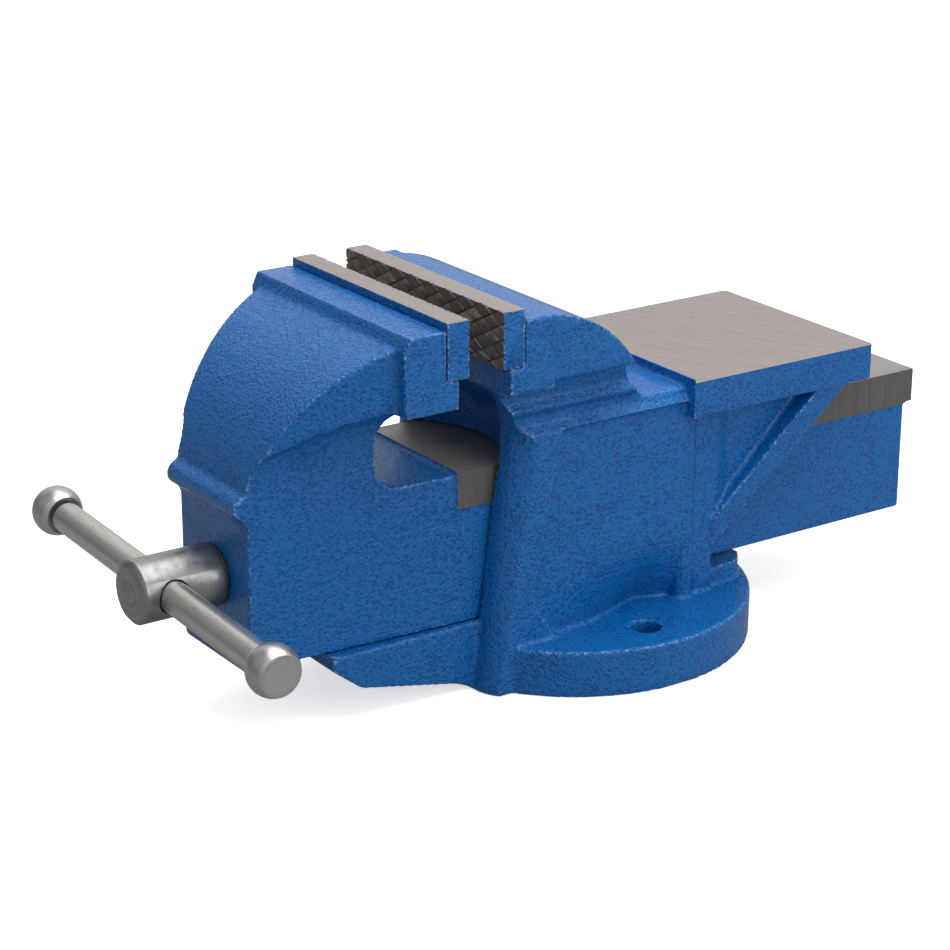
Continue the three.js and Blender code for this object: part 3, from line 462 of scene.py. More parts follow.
class Finish:
    """One material: its wiring, its Principled shader and the object's own coordinates."""

    def __init__(self, name):
        self.material = bpy.data.materials.new(name)
        self.material.use_nodes = True
        self.material.node_tree.nodes.clear()
        self.w = Wiring(self.material.node_tree)
        self.shader = self.w.add("ShaderNodeBsdfPrincipled")
        end = self.w.add("ShaderNodeOutputMaterial")
        self.w.feed(end.inputs["Surface"], self.shader.outputs[0])
        self.place = self.w.add("ShaderNodeTexCoord").outputs["Object"]

    def use(self, name, build, **sockets):
        node = self.w.add("ShaderNodeGroup", node_tree=group_once(name, build))
        for key, value in sockets.items():
            self.w.feed(node.inputs[key.replace("_", " ")], value)
        return node.outputs

    def set(self, **sockets):
        for key, value in sockets.items():
            self.w.feed(self.shader.inputs[key.replace("_", " ")], value)

    def bump(self, height, distance, strength=1.0, under=None):
        """A bumped normal; under is the normal of a coarser bump that it lies on."""
        return self.w.add("ShaderNodeBump", {
            "Height": height, "Distance": distance, "Strength": strength, "Normal": under,
        }).outputs[0]

    def turned_place(self, centre, direction):
        """Object coordinates moved so that the Z axis runs along direction through centre."""
        turn = Vector(direction).rotation_difference(Vector((0, 0, 1)))
        moved = self.w.vector("SUBTRACT", self.place, tuple(centre))
        node = self.w.add("ShaderNodeVectorRotate", rotation_type="EULER_XYZ")
        self.w.feed(node.inputs["Vector"], moved)
        node.inputs["Rotation"].default_value = turn.to_euler("XYZ")
        return node.outputs[0]


def made_once(make):
    """Runs a material's function once for each material name; later calls get the same material."""
    def material(name, *details, **more):
        return bpy.data.materials.get(name) or make(name, *details, **more)
    return material


@made_once
def enamel(name, chips=0.42, block_box=None):
    """Gloss hammered enamel, chipped to bare iron here and there on its edges, with a painted highlight and
    painted glints along them.
    """
    paint = bpy.context.scene.vise_paint
    f = Finish(name)
    skin = f.use("Hammered Enamel", enamel_group, Vector=f.place,
                 Ridge_Colour=tuple(paint.ridge_and_sheen), Pit_Colour=tuple(paint.pit))
    if block_box:
        edge = f.use("Block Edges", box_edge_group, Vector=f.place, Low=tuple(block_box[0]),
                     High=tuple(block_box[1]), Width=1.1)["Edge"]
    else:
        edge = f.use("Edges For Wear And Highlights", edge_wear_and_highlight_group)["Edge"]
    chips_and_glints = f.use("Paint Chips And Glints", chips_and_glints_group, Vector=f.place, Edge=edge, Amount=chips)
    edge_highlight_blue, painted_glint, bare_iron = (0.03, 0.15, 0.42, 1), (0.5, 0.6, 0.8, 1), (0.27, 0.23, 0.2, 1)
    # Edges turned towards a paler blue: a painted highlight along them.
    edged = f.w.blend(f.w.math("MULTIPLY", edge, 0.15), skin["Colour"], edge_highlight_blue)
    # Near-white glints on the edges: a painted highlight.
    edged = f.w.blend(f.w.math("MULTIPLY", chips_and_glints["Painted Glint"], 0.8), edged, painted_glint)
    colour = f.w.blend(chips_and_glints["Mask"], edged, bare_iron)
    rough = f.w.between(chips_and_glints["Mask"], skin["Roughness"], 0.45)
    height = f.w.math("SUBTRACT", skin["Height"], chips_and_glints["Mask"])
    f.set(Base_Color=colour, Roughness=rough, Metallic=f.w.math("MULTIPLY", chips_and_glints["Mask"], 0.7))
    f.set(Normal=f.bump(height, 0.45 * MM), Specular_IOR_Level=0.33)
    f.set(Coat_Weight=0.15, Coat_Roughness=0.1)
    return f.material


@made_once
def ground_steel(name, across, width):
    """Ground faces; across turns the lines, in degrees about Z, and width is theirs in millimetres."""
    paint = bpy.context.scene.vise_paint
    f = Finish(name)
    node = f.w.add("ShaderNodeVectorRotate", {"Vector": f.place, "Angle": math.radians(across)},
                   rotation_type="Z_AXIS")
    face = f.use("Grinding Lines", grinding_group, Vector=node.outputs[0], Line_Width=width,
                 Metal_Colour=tuple(paint.ground), Contrast=0.5)
    f.set(Base_Color=face["Colour"], Roughness=face["Roughness"], Metallic=0.55)
    f.set(Normal=f.bump(face["Height"], 0.03 * MM, 0.6))
    return f.material


@made_once
def milled_steel(name):
    """Face-milled slide, oily and darker than the ground faces."""
    paint = bpy.context.scene.vise_paint
    f = Finish(name)
    arcs = f.use("Milling Arcs", milling_group, Vector=f.place)
    face = f.use("Grinding Lines", grinding_group, Vector=f.place, Line_Width=0.9,
                 Metal_Colour=tuple(paint.milled), Contrast=0.4, Stain_Colour=(0.09, 0.075, 0.065, 1))
    lit = f.w.vector("SCALE", face["Colour"], scale=f.w.between(arcs["Tone"], 0.85, 1.2))
    f.set(Base_Color=lit, Metallic=0.45, Roughness=face["Roughness"])
    ridges = f.bump(arcs["Height"], 0.04 * MM, 0.8)
    f.set(Normal=f.bump(face["Height"], 0.02 * MM, 0.5, ridges))
    return f.material


@made_once
def milled_side(name):
    """The machined strip along each side of the slide: upright, slightly wandering tool lines."""
    f = Finish(name)
    turned = f.w.add("ShaderNodeVectorRotate", {"Vector": f.place, "Angle": math.radians(84)},
                     rotation_type="X_AXIS")
    face = f.use("Grinding Lines", grinding_group, Vector=turned.outputs[0], Line_Width=1.6,
                 # Its metal colour is about half the milled top's: painted shade on the upright strip.
                 Metal_Colour=(0.15, 0.144, 0.14, 1), Contrast=0.8, Stain_Colour=(0.08, 0.07, 0.06, 1))
    f.set(Base_Color=face["Colour"], Roughness=face["Roughness"], Metallic=0.6)
    f.set(Normal=f.bump(face["Height"], 0.06 * MM, 0.7))
    return f.material


@made_once
def hatched_steel(name):
    """Dark hardened gripping face with rubbed block tops and a few specks of paint."""
    paint = bpy.context.scene.vise_paint
    f = Finish(name)
    face = f.use("Grinding Lines", grinding_group, Vector=f.place, Line_Width=1.2,
                 Metal_Colour=(0.19, 0.168, 0.154, 1), Contrast=0.9, Stain_Colour=(0.2, 0.16, 0.135, 1))
    rub = f.w.cloud(f.place, 620.0, 3.0, 0.6)
    speck = f.w.step(f.w.cloud(f.place, 160.0, 3.0, 0.6), 0.7, 0.73)
    worn = f.w.blend(f.w.step(rub, 0.55, 0.72, 0.0, 0.5), face["Colour"], (0.28, 0.25, 0.22, 1))
    f.set(Base_Color=f.w.blend(speck, worn, tuple(paint.pit)), Metallic=0.6)
    f.set(Roughness=f.w.math("ADD", face["Roughness"], 0.05))
    f.set(Normal=f.bump(face["Height"], 0.06 * MM, 0.7))
    return f.material


@made_once
def turned_steel(name, centre, direction, colour=None, ring=0.5, mottle=0.2, grain=0.035 * MM):
    """Steel turned about an axis through centre; ring is the width of its tool marks in millimetres."""
    paint = bpy.context.scene.vise_paint
    f = Finish(name)
    face = f.use("Turned Rings", turning_group, Vector=f.turned_place(centre, direction),
                 Ring_Width=ring, Metal_Colour=tuple(colour or paint.bright), Mottle=mottle)
    f.set(Base_Color=face["Colour"], Roughness=face["Roughness"], Metallic=0.92)
    f.set(Normal=f.bump(face["Height"], grain, 0.7))
    return f.material


@made_once
def drawn_steel(name, centre, direction):
    """Drawn bar: scratches along its length, small pits."""
    f = Finish(name)
    axes = f.w.split(f.turned_place(centre, direction))
    lengthwise = f.w.join(axes[0], axes[2], axes[1])
    face = f.use("Grinding Lines", grinding_group, Vector=lengthwise, Line_Width=0.7, Contrast=0.9,
                 Metal_Colour=(0.57, 0.555, 0.535, 1), Stain_Colour=(0.42, 0.4, 0.38, 1))
    f.set(Base_Color=face["Colour"], Metallic=0.9, Normal=f.bump(face["Height"], 0.04 * MM, 0.7))
    f.set(Roughness=f.w.math("SUBTRACT", face["Roughness"], 0.12))
    return f.material


@made_once
def plain_metal(name, colour, rough, metallic, patch=70.0, grain=0.08 * MM):
    """Small fittings: mottled oxide, zinc, bronze or raw cast iron."""
    f = Finish(name)
    clouds = f.w.cloud(f.place, patch, 4.0, 0.6)
    pores = f.w.cloud(f.place, patch * 14, 3.0, 0.6)
    light = tuple(min(1.0, c * 1.5) for c in colour[:3]) + (1,)
    dark = tuple(c * 0.55 for c in colour[:3]) + (1,)
    tone = f.w.math("ADD", f.w.math("MULTIPLY", clouds, 0.7), f.w.math("MULTIPLY", pores, 0.3))
    f.set(Base_Color=f.w.blend(f.w.step(tone, 0.3, 0.7), dark, light), Metallic=metallic)
    f.set(Roughness=f.w.step(tone, 0.3, 0.7, rough + 0.1, rough - 0.06))
    f.set(Normal=f.bump(pores, grain, 0.6))
    return f.material


def black_steel():
    return plain_metal("black_oxide_steel", (0.035, 0.035, 0.037, 1), 0.42, 0.8)


def zinc_steel():
    return plain_metal("zinc_plated_steel", (0.42, 0.42, 0.4, 1), 0.34, 0.9, 120.0)


# ------------------------------------------------------------------ mesh building
def keep_rest(mesh_object):
    """The object's mesh with its modifiers applied."""
    depsgraph = bpy.context.evaluated_depsgraph_get()
    mesh = bpy.data.meshes.new_from_object(mesh_object.evaluated_get(depsgraph))
    mesh.materials.clear()
    mesh_object.modifiers.clear()
    old = mesh_object.data
    mesh_object.data = mesh
    bpy.data.meshes.remove(old)
    return mesh_object


def linked(name, mesh):
    """A new object in the scene."""
    piece = bpy.data.objects.new(name, mesh)
    bpy.context.scene.collection.objects.link(piece)
    return piece


def from_bmesh(name, bm, outward=True):
    """A new object from a finished bmesh, with its faces turned outwards if asked."""
    if outward:
        bmesh.ops.recalc_face_normals(bm, faces=bm.faces)
    mesh = bpy.data.meshes.new(name)
    bm.to_mesh(mesh)
    bm.free()
    return linked(name, mesh)


def cad_copy(node, name):
    """A copy of a solid to shape further; the solid itself stays as it is."""
    mesh = frame["nodes"][node].data.copy()
    mesh.materials.clear()
    return linked(name, mesh)


def smooth_faces(piece, angle=34.0):
    """Smooth shading, with edges sharper than angle (degrees) left crisp."""
    piece.data.shade_smooth()
    piece.data.set_sharp_from_angle(angle=math.radians(angle))


def finish_piece(piece, body, materials, node):
    """Gives the piece its materials and has it ride on a body in a solid's place."""
    for material in materials:
        piece.data.materials.append(material)
    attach(piece, body)
    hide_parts(node)


def weld(mesh):
    """Joins corners that lie on each other, so that a solid's surface is closed."""
    bm = bmesh.new()
    bm.from_mesh(mesh)
    bmesh.ops.remove_doubles(bm, verts=bm.verts, dist=SMALL)
    bm.to_mesh(mesh)
    bm.free()


def add_stock(mesh, rules):
    """Moves the corners that lie on a plane to be machined; rules are (axis, place, move, test)."""
    for vertex in mesh.vertices:
        for axis, place, move, test in rules:
            if abs(vertex.co[axis] - place) < 5 * SMALL and test(vertex.co):
                vertex.co[axis] += move


def block(name, low, high):
    """An upright box between two corners."""
    middle = (Vector(low) + Vector(high)) / 2
    size = Vector(high) - Vector(low)
    bm = bmesh.new()
    put = Matrix.Translation(middle) @ Matrix.Diagonal(size.to_4d())
    bmesh.ops.create_cube(bm, size=1.0, matrix=put)
    return from_bmesh(name, bm, outward=False)


def machine(piece, cutters):
    """Cuts the piece with each cutter object in turn and removes the cutters."""
    for cutter in cutters:
        cut = piece.modifiers.new("machining", "BOOLEAN")
        cut.operation = "DIFFERENCE"
        cut.solver = "MANIFOLD"
        cut.object = cutter
    keep_rest(piece)
    for cutter in cutters:
        mesh = cutter.data
        bpy.data.objects.remove(cutter)
        bpy.data.meshes.remove(mesh)


def cast(piece):
    """Turns a sharp solid into a casting: remeshed on a fine grid, edges and corners softened."""
    shape = bpy.context.scene.vise_shape
    grid = piece.modifiers.new("grid", "REMESH")
    grid.mode = "VOXEL"
    grid.voxel_size = shape.grid * 1.0
    soften = piece.modifiers.new("soften", "SMOOTH")
    soften.factor = 0.5
    soften.iterations = shape.softness
    keep_rest(piece)
    faces = len(piece.data.polygons) * 2
    if faces > CASTING_TRIANGLES:
        thin = piece.modifiers.new("thin", "DECIMATE")
        thin.ratio = CASTING_TRIANGLES / faces
        keep_rest(piece)


def sort_faces(piece, rules):
    """Gives each face the first material slot whose test of centre and normal passes."""
    for face in piece.data.polygons:
        for index, test in rules:
            if test(face.center, face.normal):
                face.material_index = index
                break


def lathed(name, profile, segments=96):
    """Surface turned about the local Y axis from (radius, place) pairs that start and end on it."""
    bm = bmesh.new()
    rings = []
    for radius, along in profile:
        if not radius:
            rings.append([bm.verts.new((0, along, 0))])
            continue
        ring = []
        for k in range(segments):
            angle = 2 * math.pi * k / segments
            ring.append(bm.verts.new((radius * math.cos(angle), along, radius * math.sin(angle))))
        rings.append(ring)
    for first, second in zip(rings, rings[1:]):
        for k in range(segments):
            after = (k + 1) % segments
            corners = [first[k % len(first)], first[after % len(first)],
                       second[after % len(second)], second[k % len(second)]]
            unique = list(dict.fromkeys(corners))
            if len(unique) > 2:
                bm.faces.new(unique)
    return from_bmesh(name, bm)


def shift_mesh(piece, matrix):
    piece.data.transform(matrix)
    piece.data.update()


def break_edges(piece, width, segments, angle):
    """Bevels the edges that turn by more than angle (degrees), and applies every modifier."""
    edge = piece.modifiers.new("edge", "BEVEL")
    edge.width = width
    edge.segments = segments
    edge.limit_method = "ANGLE"
    edge.angle_limit = math.radians(angle)
    keep_rest(piece)


def softened_copy(node, name, width, segments=2):
    """A copy of a solid with its edges broken by a small bevel."""
    piece = cad_copy(node, name)
    weld(piece.data)
    flat = piece.modifiers.new("flat", "DECIMATE")
    flat.decimate_type = "DISSOLVE"
    flat.angle_limit = math.radians(3)
    break_edges(piece, width, segments, 30)
    smooth_faces(piece, 40)
    return piece


# ------------------------------------------------------------------ operators
class VISE_OT_fixed_casting(bpy.types.Operator):
    """Fixed body with its base, neck, gussets and anvil"""

    bl_idname = "vise.fixed_casting"
    bl_label = "Fixed casting"

    def execute(self, context):
        stock = context.scene.vise_shape.stock
        piece = cad_copy("fixed_body", "fixed_casting")
        weld(piece.data)
        behind = FIXED_PLATE_HIGH.y + 60 * MM
        add_stock(piece.data, [(2, ANVIL_TOP, stock, lambda p: p.y > behind)])
        cast(piece)
        front, high = ANVIL_FRONT + 0.4 * MM, ANVIL_TOP + 12 * MM
        machine(piece, [
            block("anvil_cut", (-WIDE, front, ANVIL_TOP), (WIDE, BODY_HIGH.y + PAST, high)),
        ])
        smooth_faces(piece)
        sort_faces(piece, [
            (1, lambda c, n: n.z > 0.95 and abs(c.z - ANVIL_TOP) < SMALL and c.y > behind),
            (2, lambda c, n: abs(c.x) < SLIDE_HALF + 1 * MM and SLOT_FLOOR < c.z < SLIDE_TOP + 1 * MM
             and (abs(n.x) > 0.8 or abs(n.z) > 0.8) and c.y > STRIP_FRONT + 12 * MM),
            (0, lambda c, n: True),
        ])
        finishes = [
            enamel("hammered_blue_enamel"), ground_steel("ground_anvil_steel", 62, 0.55),
            milled_side("milled_strip_steel"),
        ]
        finish_piece(piece, "fixed_body", finishes, "fixed_body")
        return {"FINISHED"}


class VISE_OT_moving_casting(bpy.types.Operator):
    """Sliding jaw with its head, front wall and milled slide"""

    bl_idname = "vise.moving_casting"
    bl_label = "Moving casting"

    def execute(self, context):
        stock = context.scene.vise_shape.stock
        piece = cad_copy("moving_jaw", "moving_casting")
        weld(piece.data)
        rear = JAW_HIGH.y
        on_slide = lambda p: p.y > STRIP_FRONT - 0.1 * MM and p.z > STRIP_LOW - 0.1 * MM
        add_stock(piece.data, [
            (2, SLIDE_TOP, stock, on_slide),
            (0, SLIDE_HALF, stock, on_slide),
            (0, -SLIDE_HALF, -stock, on_slide),
            (1, rear, stock, on_slide),
        ])
        cast(piece)
        low, high, end = STRIP_LOW - 4 * MM, SLIDE_TOP + 6 * MM, rear + PAST
        machine(piece, [
            block("top_cut", (-WIDE, STRIP_FRONT, SLIDE_TOP), (WIDE, end, high)),
            block("right_cut", (SLIDE_HALF, STRIP_FRONT, low), (WIDE, end, high)),
            block("left_cut", (-WIDE, STRIP_FRONT, low), (-SLIDE_HALF, end, high)),
            block("rear_cut", (-WIDE, rear, low), (WIDE, end, high)),
        ])
        smooth_faces(piece)
        behind_head = lambda c: c.y > STRIP_FRONT and c.z < SLIDE_TOP + 1 * MM
        sort_faces(piece, [
            (1, lambda c, n: n.z > 0.9 and c.z > SLIDE_TOP - 0.6 * MM and behind_head(c)),
            (2, lambda c, n: abs(n.x) > 0.9 and abs(c.x) > SLIDE_HALF - SMALL
             and c.z > STRIP_LOW - 3 * MM and behind_head(c)),
            (2, lambda c, n: n.y > 0.9 and c.y > rear - SMALL),
            (3, lambda c, n: abs(c.x) < CHANNEL_HALF and c.y > WALL_BACK and c.z < CHANNEL_TOP),
            (0, lambda c, n: True),
        ])
        finishes = [
            enamel("hammered_blue_enamel"), milled_steel("milled_slide_steel"),
            milled_side("milled_strip_steel"),
            plain_metal("raw_casting_iron", (0.05, 0.055, 0.07, 1), 0.7, 0.2, 60.0, 0.4 * MM),
        ]
        finish_piece(piece, "moving_jaw", finishes, "moving_jaw")
        return {"FINISHED"}


def groove_cutter(name, face, outward, low, high, angle):
    """Parallel tapered bars across a jaw face, at an angle to its length."""
    shape = bpy.context.scene.vise_shape
    middle_x, middle_z = (low.x + high.x) / 2, (low.z + high.z) / 2
    reach = (high.x - low.x) / 2 * abs(math.sin(angle)) + (high.z - low.z) / 2 * math.cos(angle)
    count = int(reach / shape.groove_pitch) + 1
    half = shape.groove_width / 2
    lift = 0.6 * MM
    section = [(-half * 1.5, lift), (half * 1.5, lift), (half * 0.28, -shape.groove_depth),
               (-half * 0.28, -shape.groove_depth)]
    along = Vector((math.cos(angle), 0, math.sin(angle)))
    across = Vector((-math.sin(angle), 0, math.cos(angle)))
    span = (high.x - low.x) * 0.8
    bm = bmesh.new()
    for k in range(-count, count + 1):
        centre = Vector((middle_x, face, middle_z)) + across * ((k + 0.5) * shape.groove_pitch)
        first, last = (
            [bm.verts.new(centre + along * end + across * a + Vector((0, outward * d, 0)))
             for a, d in section]
            for end in (-span, span)
        )
        for i in range(4):
            j = (i + 1) % 4
            bm.faces.new((first[i], first[j], last[j], last[i]))
        bm.faces.new(first[::-1])
        bm.faces.new(last)
    return from_bmesh(name, bm)


class VISE_OT_jaw_plates(bpy.types.Operator):
    """Both jaw plates, cross-hatched on their gripping faces"""

    bl_idname = "vise.jaw_plates"
    bl_label = "Jaw plates"

    def execute(self, context):
        shape = context.scene.vise_shape
        for node, body, low, high, outward in (
            ("fixed_jaw_plate", "fixed_body", FIXED_PLATE_LOW, FIXED_PLATE_HIGH, -1),
            ("moving_jaw_plate", "moving_jaw", MOVING_PLATE_LOW, MOVING_PLATE_HIGH, 1),
        ):
            piece = softened_copy(node, node + "_hatched", 0.35 * MM)
            face = low.y if outward < 0 else high.y
            for angle in (shape.groove_angle, -shape.groove_angle):
                machine(piece, [groove_cutter("grooves", face, outward, low, high, angle)])
            smooth_faces(piece, 28)
            grip = lambda c, n: n.y * outward > 0.2 or (
                abs(c.y - face) < shape.groove_depth * 1.1 and abs(n.x) < 0.97 and abs(n.z) < 0.97
            )
            sort_faces(piece, [
                (2, lambda c, n: n.z > 0.6 and c.z > high.z - 0.3 * MM),
                (1, grip),
                (0, lambda c, n: True),
            ])
            finishes = [
                enamel(node + "_enamel", 0.5, (low, high)), hatched_steel("hatched_jaw_steel"),
                ground_steel("ground_plate_steel", 78, 0.45),
            ]
            finish_piece(piece, body, finishes, node)
        return {"FINISHED"}


class VISE_OT_plate_screws(bpy.types.Operator):
    """Socket screws that hold the jaw plates"""

    bl_idname = "vise.plate_screws"
    bl_label = "Plate screws"

    def execute(self, context):
        for jaw, body in (("fixed", "fixed_body"), ("moving", "moving_jaw")):
            for hand in ("left", "right"):
                node = f"{jaw}_plate_screw_{hand}"
                piece = softened_copy(node, node + "_shaped", 0.3 * MM)
                finish_piece(piece, body, [black_steel()], node)
        return {"FINISHED"}


def thread_mesh(name, start, end, major, depth, lead, segments=64):
    """Trapezoidal thread wound on the local Y axis, tapering out at both ends."""
    steps = int(((end - start) / lead - 1.0) * segments)
    # One thread's corners: the share of the lead that they stand at, and 1 at the root, 0 at the crest.
    profile = [(0.08, 1.0), (0.26, 0.0), (0.56, 0.0), (0.74, 1.0)]
    run_out = segments * 0.6
    bm = bmesh.new()
    rows = []
    for k in range(steps + 1):
        angle = 2 * math.pi * k / segments
        fade = min(1.0, k / run_out, (steps - k) / run_out)
        row = []
        for share, sunk in profile:
            radius = major - depth * (1 - (1 - sunk) * fade)
            y = start + lead * (k / segments + share)
            row.append(bm.verts.new((radius * math.cos(angle), y, radius * math.sin(angle))))
        rows.append(row)
    for k in range(steps):
        for j in range(3):
            bm.faces.new((rows[k][j], rows[k + 1][j], rows[k + 1][j + 1], rows[k][j + 1]))
        if k + segments < steps:
            near, far = rows[k], rows[k + segments]
            bm.faces.new((near[3], rows[k + 1][3], rows[k + 1 + segments][0], far[0]))
    return from_bmesh(name, bm)


def joined(name, pieces):
    """One object from several, with their meshes side by side."""
    bm = bmesh.new()
    for piece in pieces:
        bm.from_mesh(piece.data)
        old = piece.data
        bpy.data.objects.remove(piece)
        bpy.data.meshes.remove(old)
    return from_bmesh(name, bm, outward=False)


class VISE_OT_spindle(bpy.types.Operator):
    """Screw with its bored head and trapezoidal thread"""

    bl_idname = "vise.spindle"
    bl_label = "Spindle"

    def execute(self, context):
        shape = context.scene.vise_shape
        head_r = (SPINDLE_HIGH.x - SPINDLE_LOW.x) / 2
        front, rear = SPINDLE_LOW.y, SPINDLE_HIGH.y
        head_rear = front + HEAD_LENGTH
        thread_from = COLLAR_HIGH.y + 6 * MM
        root = SCREW_R - shape.thread_depth
        profile = [
            (0, front + 0.35 * MM), (1.2 * MM, front + 0.1 * MM), (2.0 * MM, front),
            (head_r - 2.9 * MM, front), (head_r - 2.5 * MM, front + 0.12 * MM),
            (head_r - 0.35 * MM, front + 1.95 * MM), (head_r, front + 2.5 * MM),
            (head_r, head_rear - 0.6 * MM), (head_r - 0.6 * MM, head_rear),
            (SCREW_R + 1 * MM, head_rear), (SCREW_R, head_rear + 0.8 * MM),
            (SCREW_R, thread_from - 2 * MM), (root, thread_from), (root, rear - 6 * MM),
            (root, rear - 1.2 * MM), (root - 1.2 * MM, rear), (0, rear),
        ]
        piece = lathed("screw_body", profile, 128)
        across = Vector((BAR_AXIS.x, 0, BAR_AXIS.z))
        reach = head_r + PAST
        bore = lathed("bore", [(0, -reach), (BORE_R, -reach), (BORE_R, reach), (0, reach)], 72)
        turn = Vector((0, 1, 0)).rotation_difference(across).to_matrix().to_4x4()
        shift_mesh(bore, Matrix.Translation((0, BAR_MIDDLE.y, 0)) @ turn)
        machine(piece, [bore])
        break_edges(piece, 0.5 * MM, 2, 50)
        thread = thread_mesh(
            "thread", thread_from, rear - 1.5 * MM, SCREW_R, shape.thread_depth, shape.thread_lead,
        )
        piece = joined("spindle_turned", [piece, thread])
        shift_mesh(piece, Matrix.Translation((0, 0, AXIS_Z)))
        smooth_faces(piece, 32)
        steel = turned_steel("turned_screw_steel", (0, 0, AXIS_Z), (0, 1, 0),
                             ring=0.55, mottle=0.12, grain=0.06 * MM)
        finish_piece(piece, "spindle", [steel], "spindle")
        return {"FINISHED"}


def reach_along(node, origin, axis):
    """How far a solid reaches from origin along axis, both ways."""
    places = [(v.co - origin).dot(axis) for v in frame["nodes"][node].data.vertices]
    return min(places), max(places)


class VISE_OT_handle(bpy.types.Operator):
    """Tommy bar and its two ball ends"""

    bl_idname = "vise.handle"
    bl_label = "Tommy bar"

    def execute(self, context):
        low, high = reach_along("handle_bar", BAR_MIDDLE, BAR_AXIS)
        turn = Vector((0, 1, 0)).rotation_difference(BAR_AXIS).to_matrix().to_4x4()
        put = Matrix.Translation(BAR_MIDDLE) @ turn
        chamfer = 0.8 * MM
        low, high = low + BAR_SHORT, high - BAR_SHORT
        bar = lathed("tommy_bar", [
            (0, low), (BAR_R - chamfer, low), (BAR_R, low + chamfer), (BAR_R, 0),
            (BAR_R, high - chamfer), (BAR_R - chamfer, high), (0, high),
        ], 72)
        shift_mesh(bar, put)
        smooth_faces(bar, 40)
        steel = drawn_steel("drawn_bar_steel", BAR_MIDDLE, BAR_AXIS)
        finish_piece(bar, "handle", [steel], "handle_bar")
        for side, hand in ((-1, "left"), (1, "right")):
            node = "handle_knob_" + hand
            ends = reach_along(node, BAR_MIDDLE, BAR_AXIS)
            inner, outer = sorted(side * end for end in ends)
            knob_low, knob_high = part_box(node)
            ball = (knob_high.y - knob_low.y) / 2
            middle = inner + BALL_SEAT
            inner_flat = math.sqrt(ball ** 2 - BALL_SEAT ** 2)
            outer_flat = math.sqrt(ball ** 2 - (outer - middle) ** 2)
            step, gap_r, nick = inner + 1.6 * MM, BAR_R + 0.4 * MM, 0.25 * MM
            first = math.atan2(nick - BALL_SEAT, inner_flat)
            last = math.atan2(outer - middle - 0.35 * MM, outer_flat)
            angles = [first + (last - first) * k / 20 for k in range(21)]
            profile = [
                (0, step), (gap_r, step), (gap_r, inner + 0.2 * MM), (inner_flat - nick, inner),
                *((ball * math.cos(a), middle + ball * math.sin(a)) for a in angles),
                (outer_flat - nick, outer), (2 * MM, outer), (0, outer - 0.15 * MM),
            ]
            knob = lathed("tommy_ball_" + hand, [(r, a * side) for r, a in profile], 96)
            shift_mesh(knob, put)
            smooth_faces(knob, 25)
            centre = BAR_MIDDLE + BAR_AXIS * (middle * side)
            ball_steel = turned_steel("turned_ball_steel_" + hand, centre, BAR_AXIS, (0.5, 0.49, 0.48, 1))
            finish_piece(knob, "handle", [ball_steel], node)
        return {"FINISHED"}


class VISE_OT_thrust_parts(bpy.types.Operator):
    """Washers, spring, collar and pin behind the front wall"""

    bl_idname = "vise.thrust_parts"
    bl_label = "Thrust parts"

    def execute(self, context):
        bronze = plain_metal("bearing_bronze", (0.13, 0.085, 0.045, 1), 0.45, 0.8)
        spring = plain_metal("spring_wire_steel", (0.14, 0.14, 0.145, 1), 0.35, 0.9, 200.0)
        for node, width, material, slot in (
            ("thrust_washer", 0.4, bronze, "bronze"),
            ("spring_washer", 0.3, zinc_steel(), "bright_steel"),
            ("retaining_collar", 0.6, black_steel(), "black_steel"),
            ("collar_pin", 0.4, spring, "spring_steel"),
        ):
            piece = softened_copy(node, node + "_shaped", width * MM)
            finish_piece(piece, "spindle", [material], node)
        coil = cad_copy("thrust_spring", "thrust_spring_wound")
        weld(coil.data)
        fine = coil.modifiers.new("fine", "SUBSURF")
        fine.levels = fine.render_levels = 1
        keep_rest(coil)
        smooth_faces(coil, 60)
        finish_piece(coil, "spindle", [spring], "thrust_spring")
        return {"FINISHED"}


class VISE_OT_nut(bpy.types.Operator):
    """Nut on the bed, with its bolts and washers"""

    bl_idname = "vise.nut"
    bl_label = "Spindle nut"

    def execute(self, context):
        iron = plain_metal("bare_cast_iron", (0.1, 0.095, 0.09, 1), 0.6, 0.6, 60.0, 0.3 * MM)
        nut = softened_copy("spindle_nut", "spindle_nut_cast", 0.8 * MM, 3)
        finish_piece(nut, "fixed_body", [iron], "spindle_nut")
        for end in ("front", "rear"):
            for kind, width, material, slot in (
                ("nut_bolt_", 0.5, black_steel(), "black_steel"),
                ("nut_washer_", 0.3, zinc_steel(), "bright_steel"),
            ):
                node = kind + end
                piece = softened_copy(node, node + "_shaped", width * MM)
                finish_piece(piece, "fixed_body", [material], node)
        return {"FINISHED"}


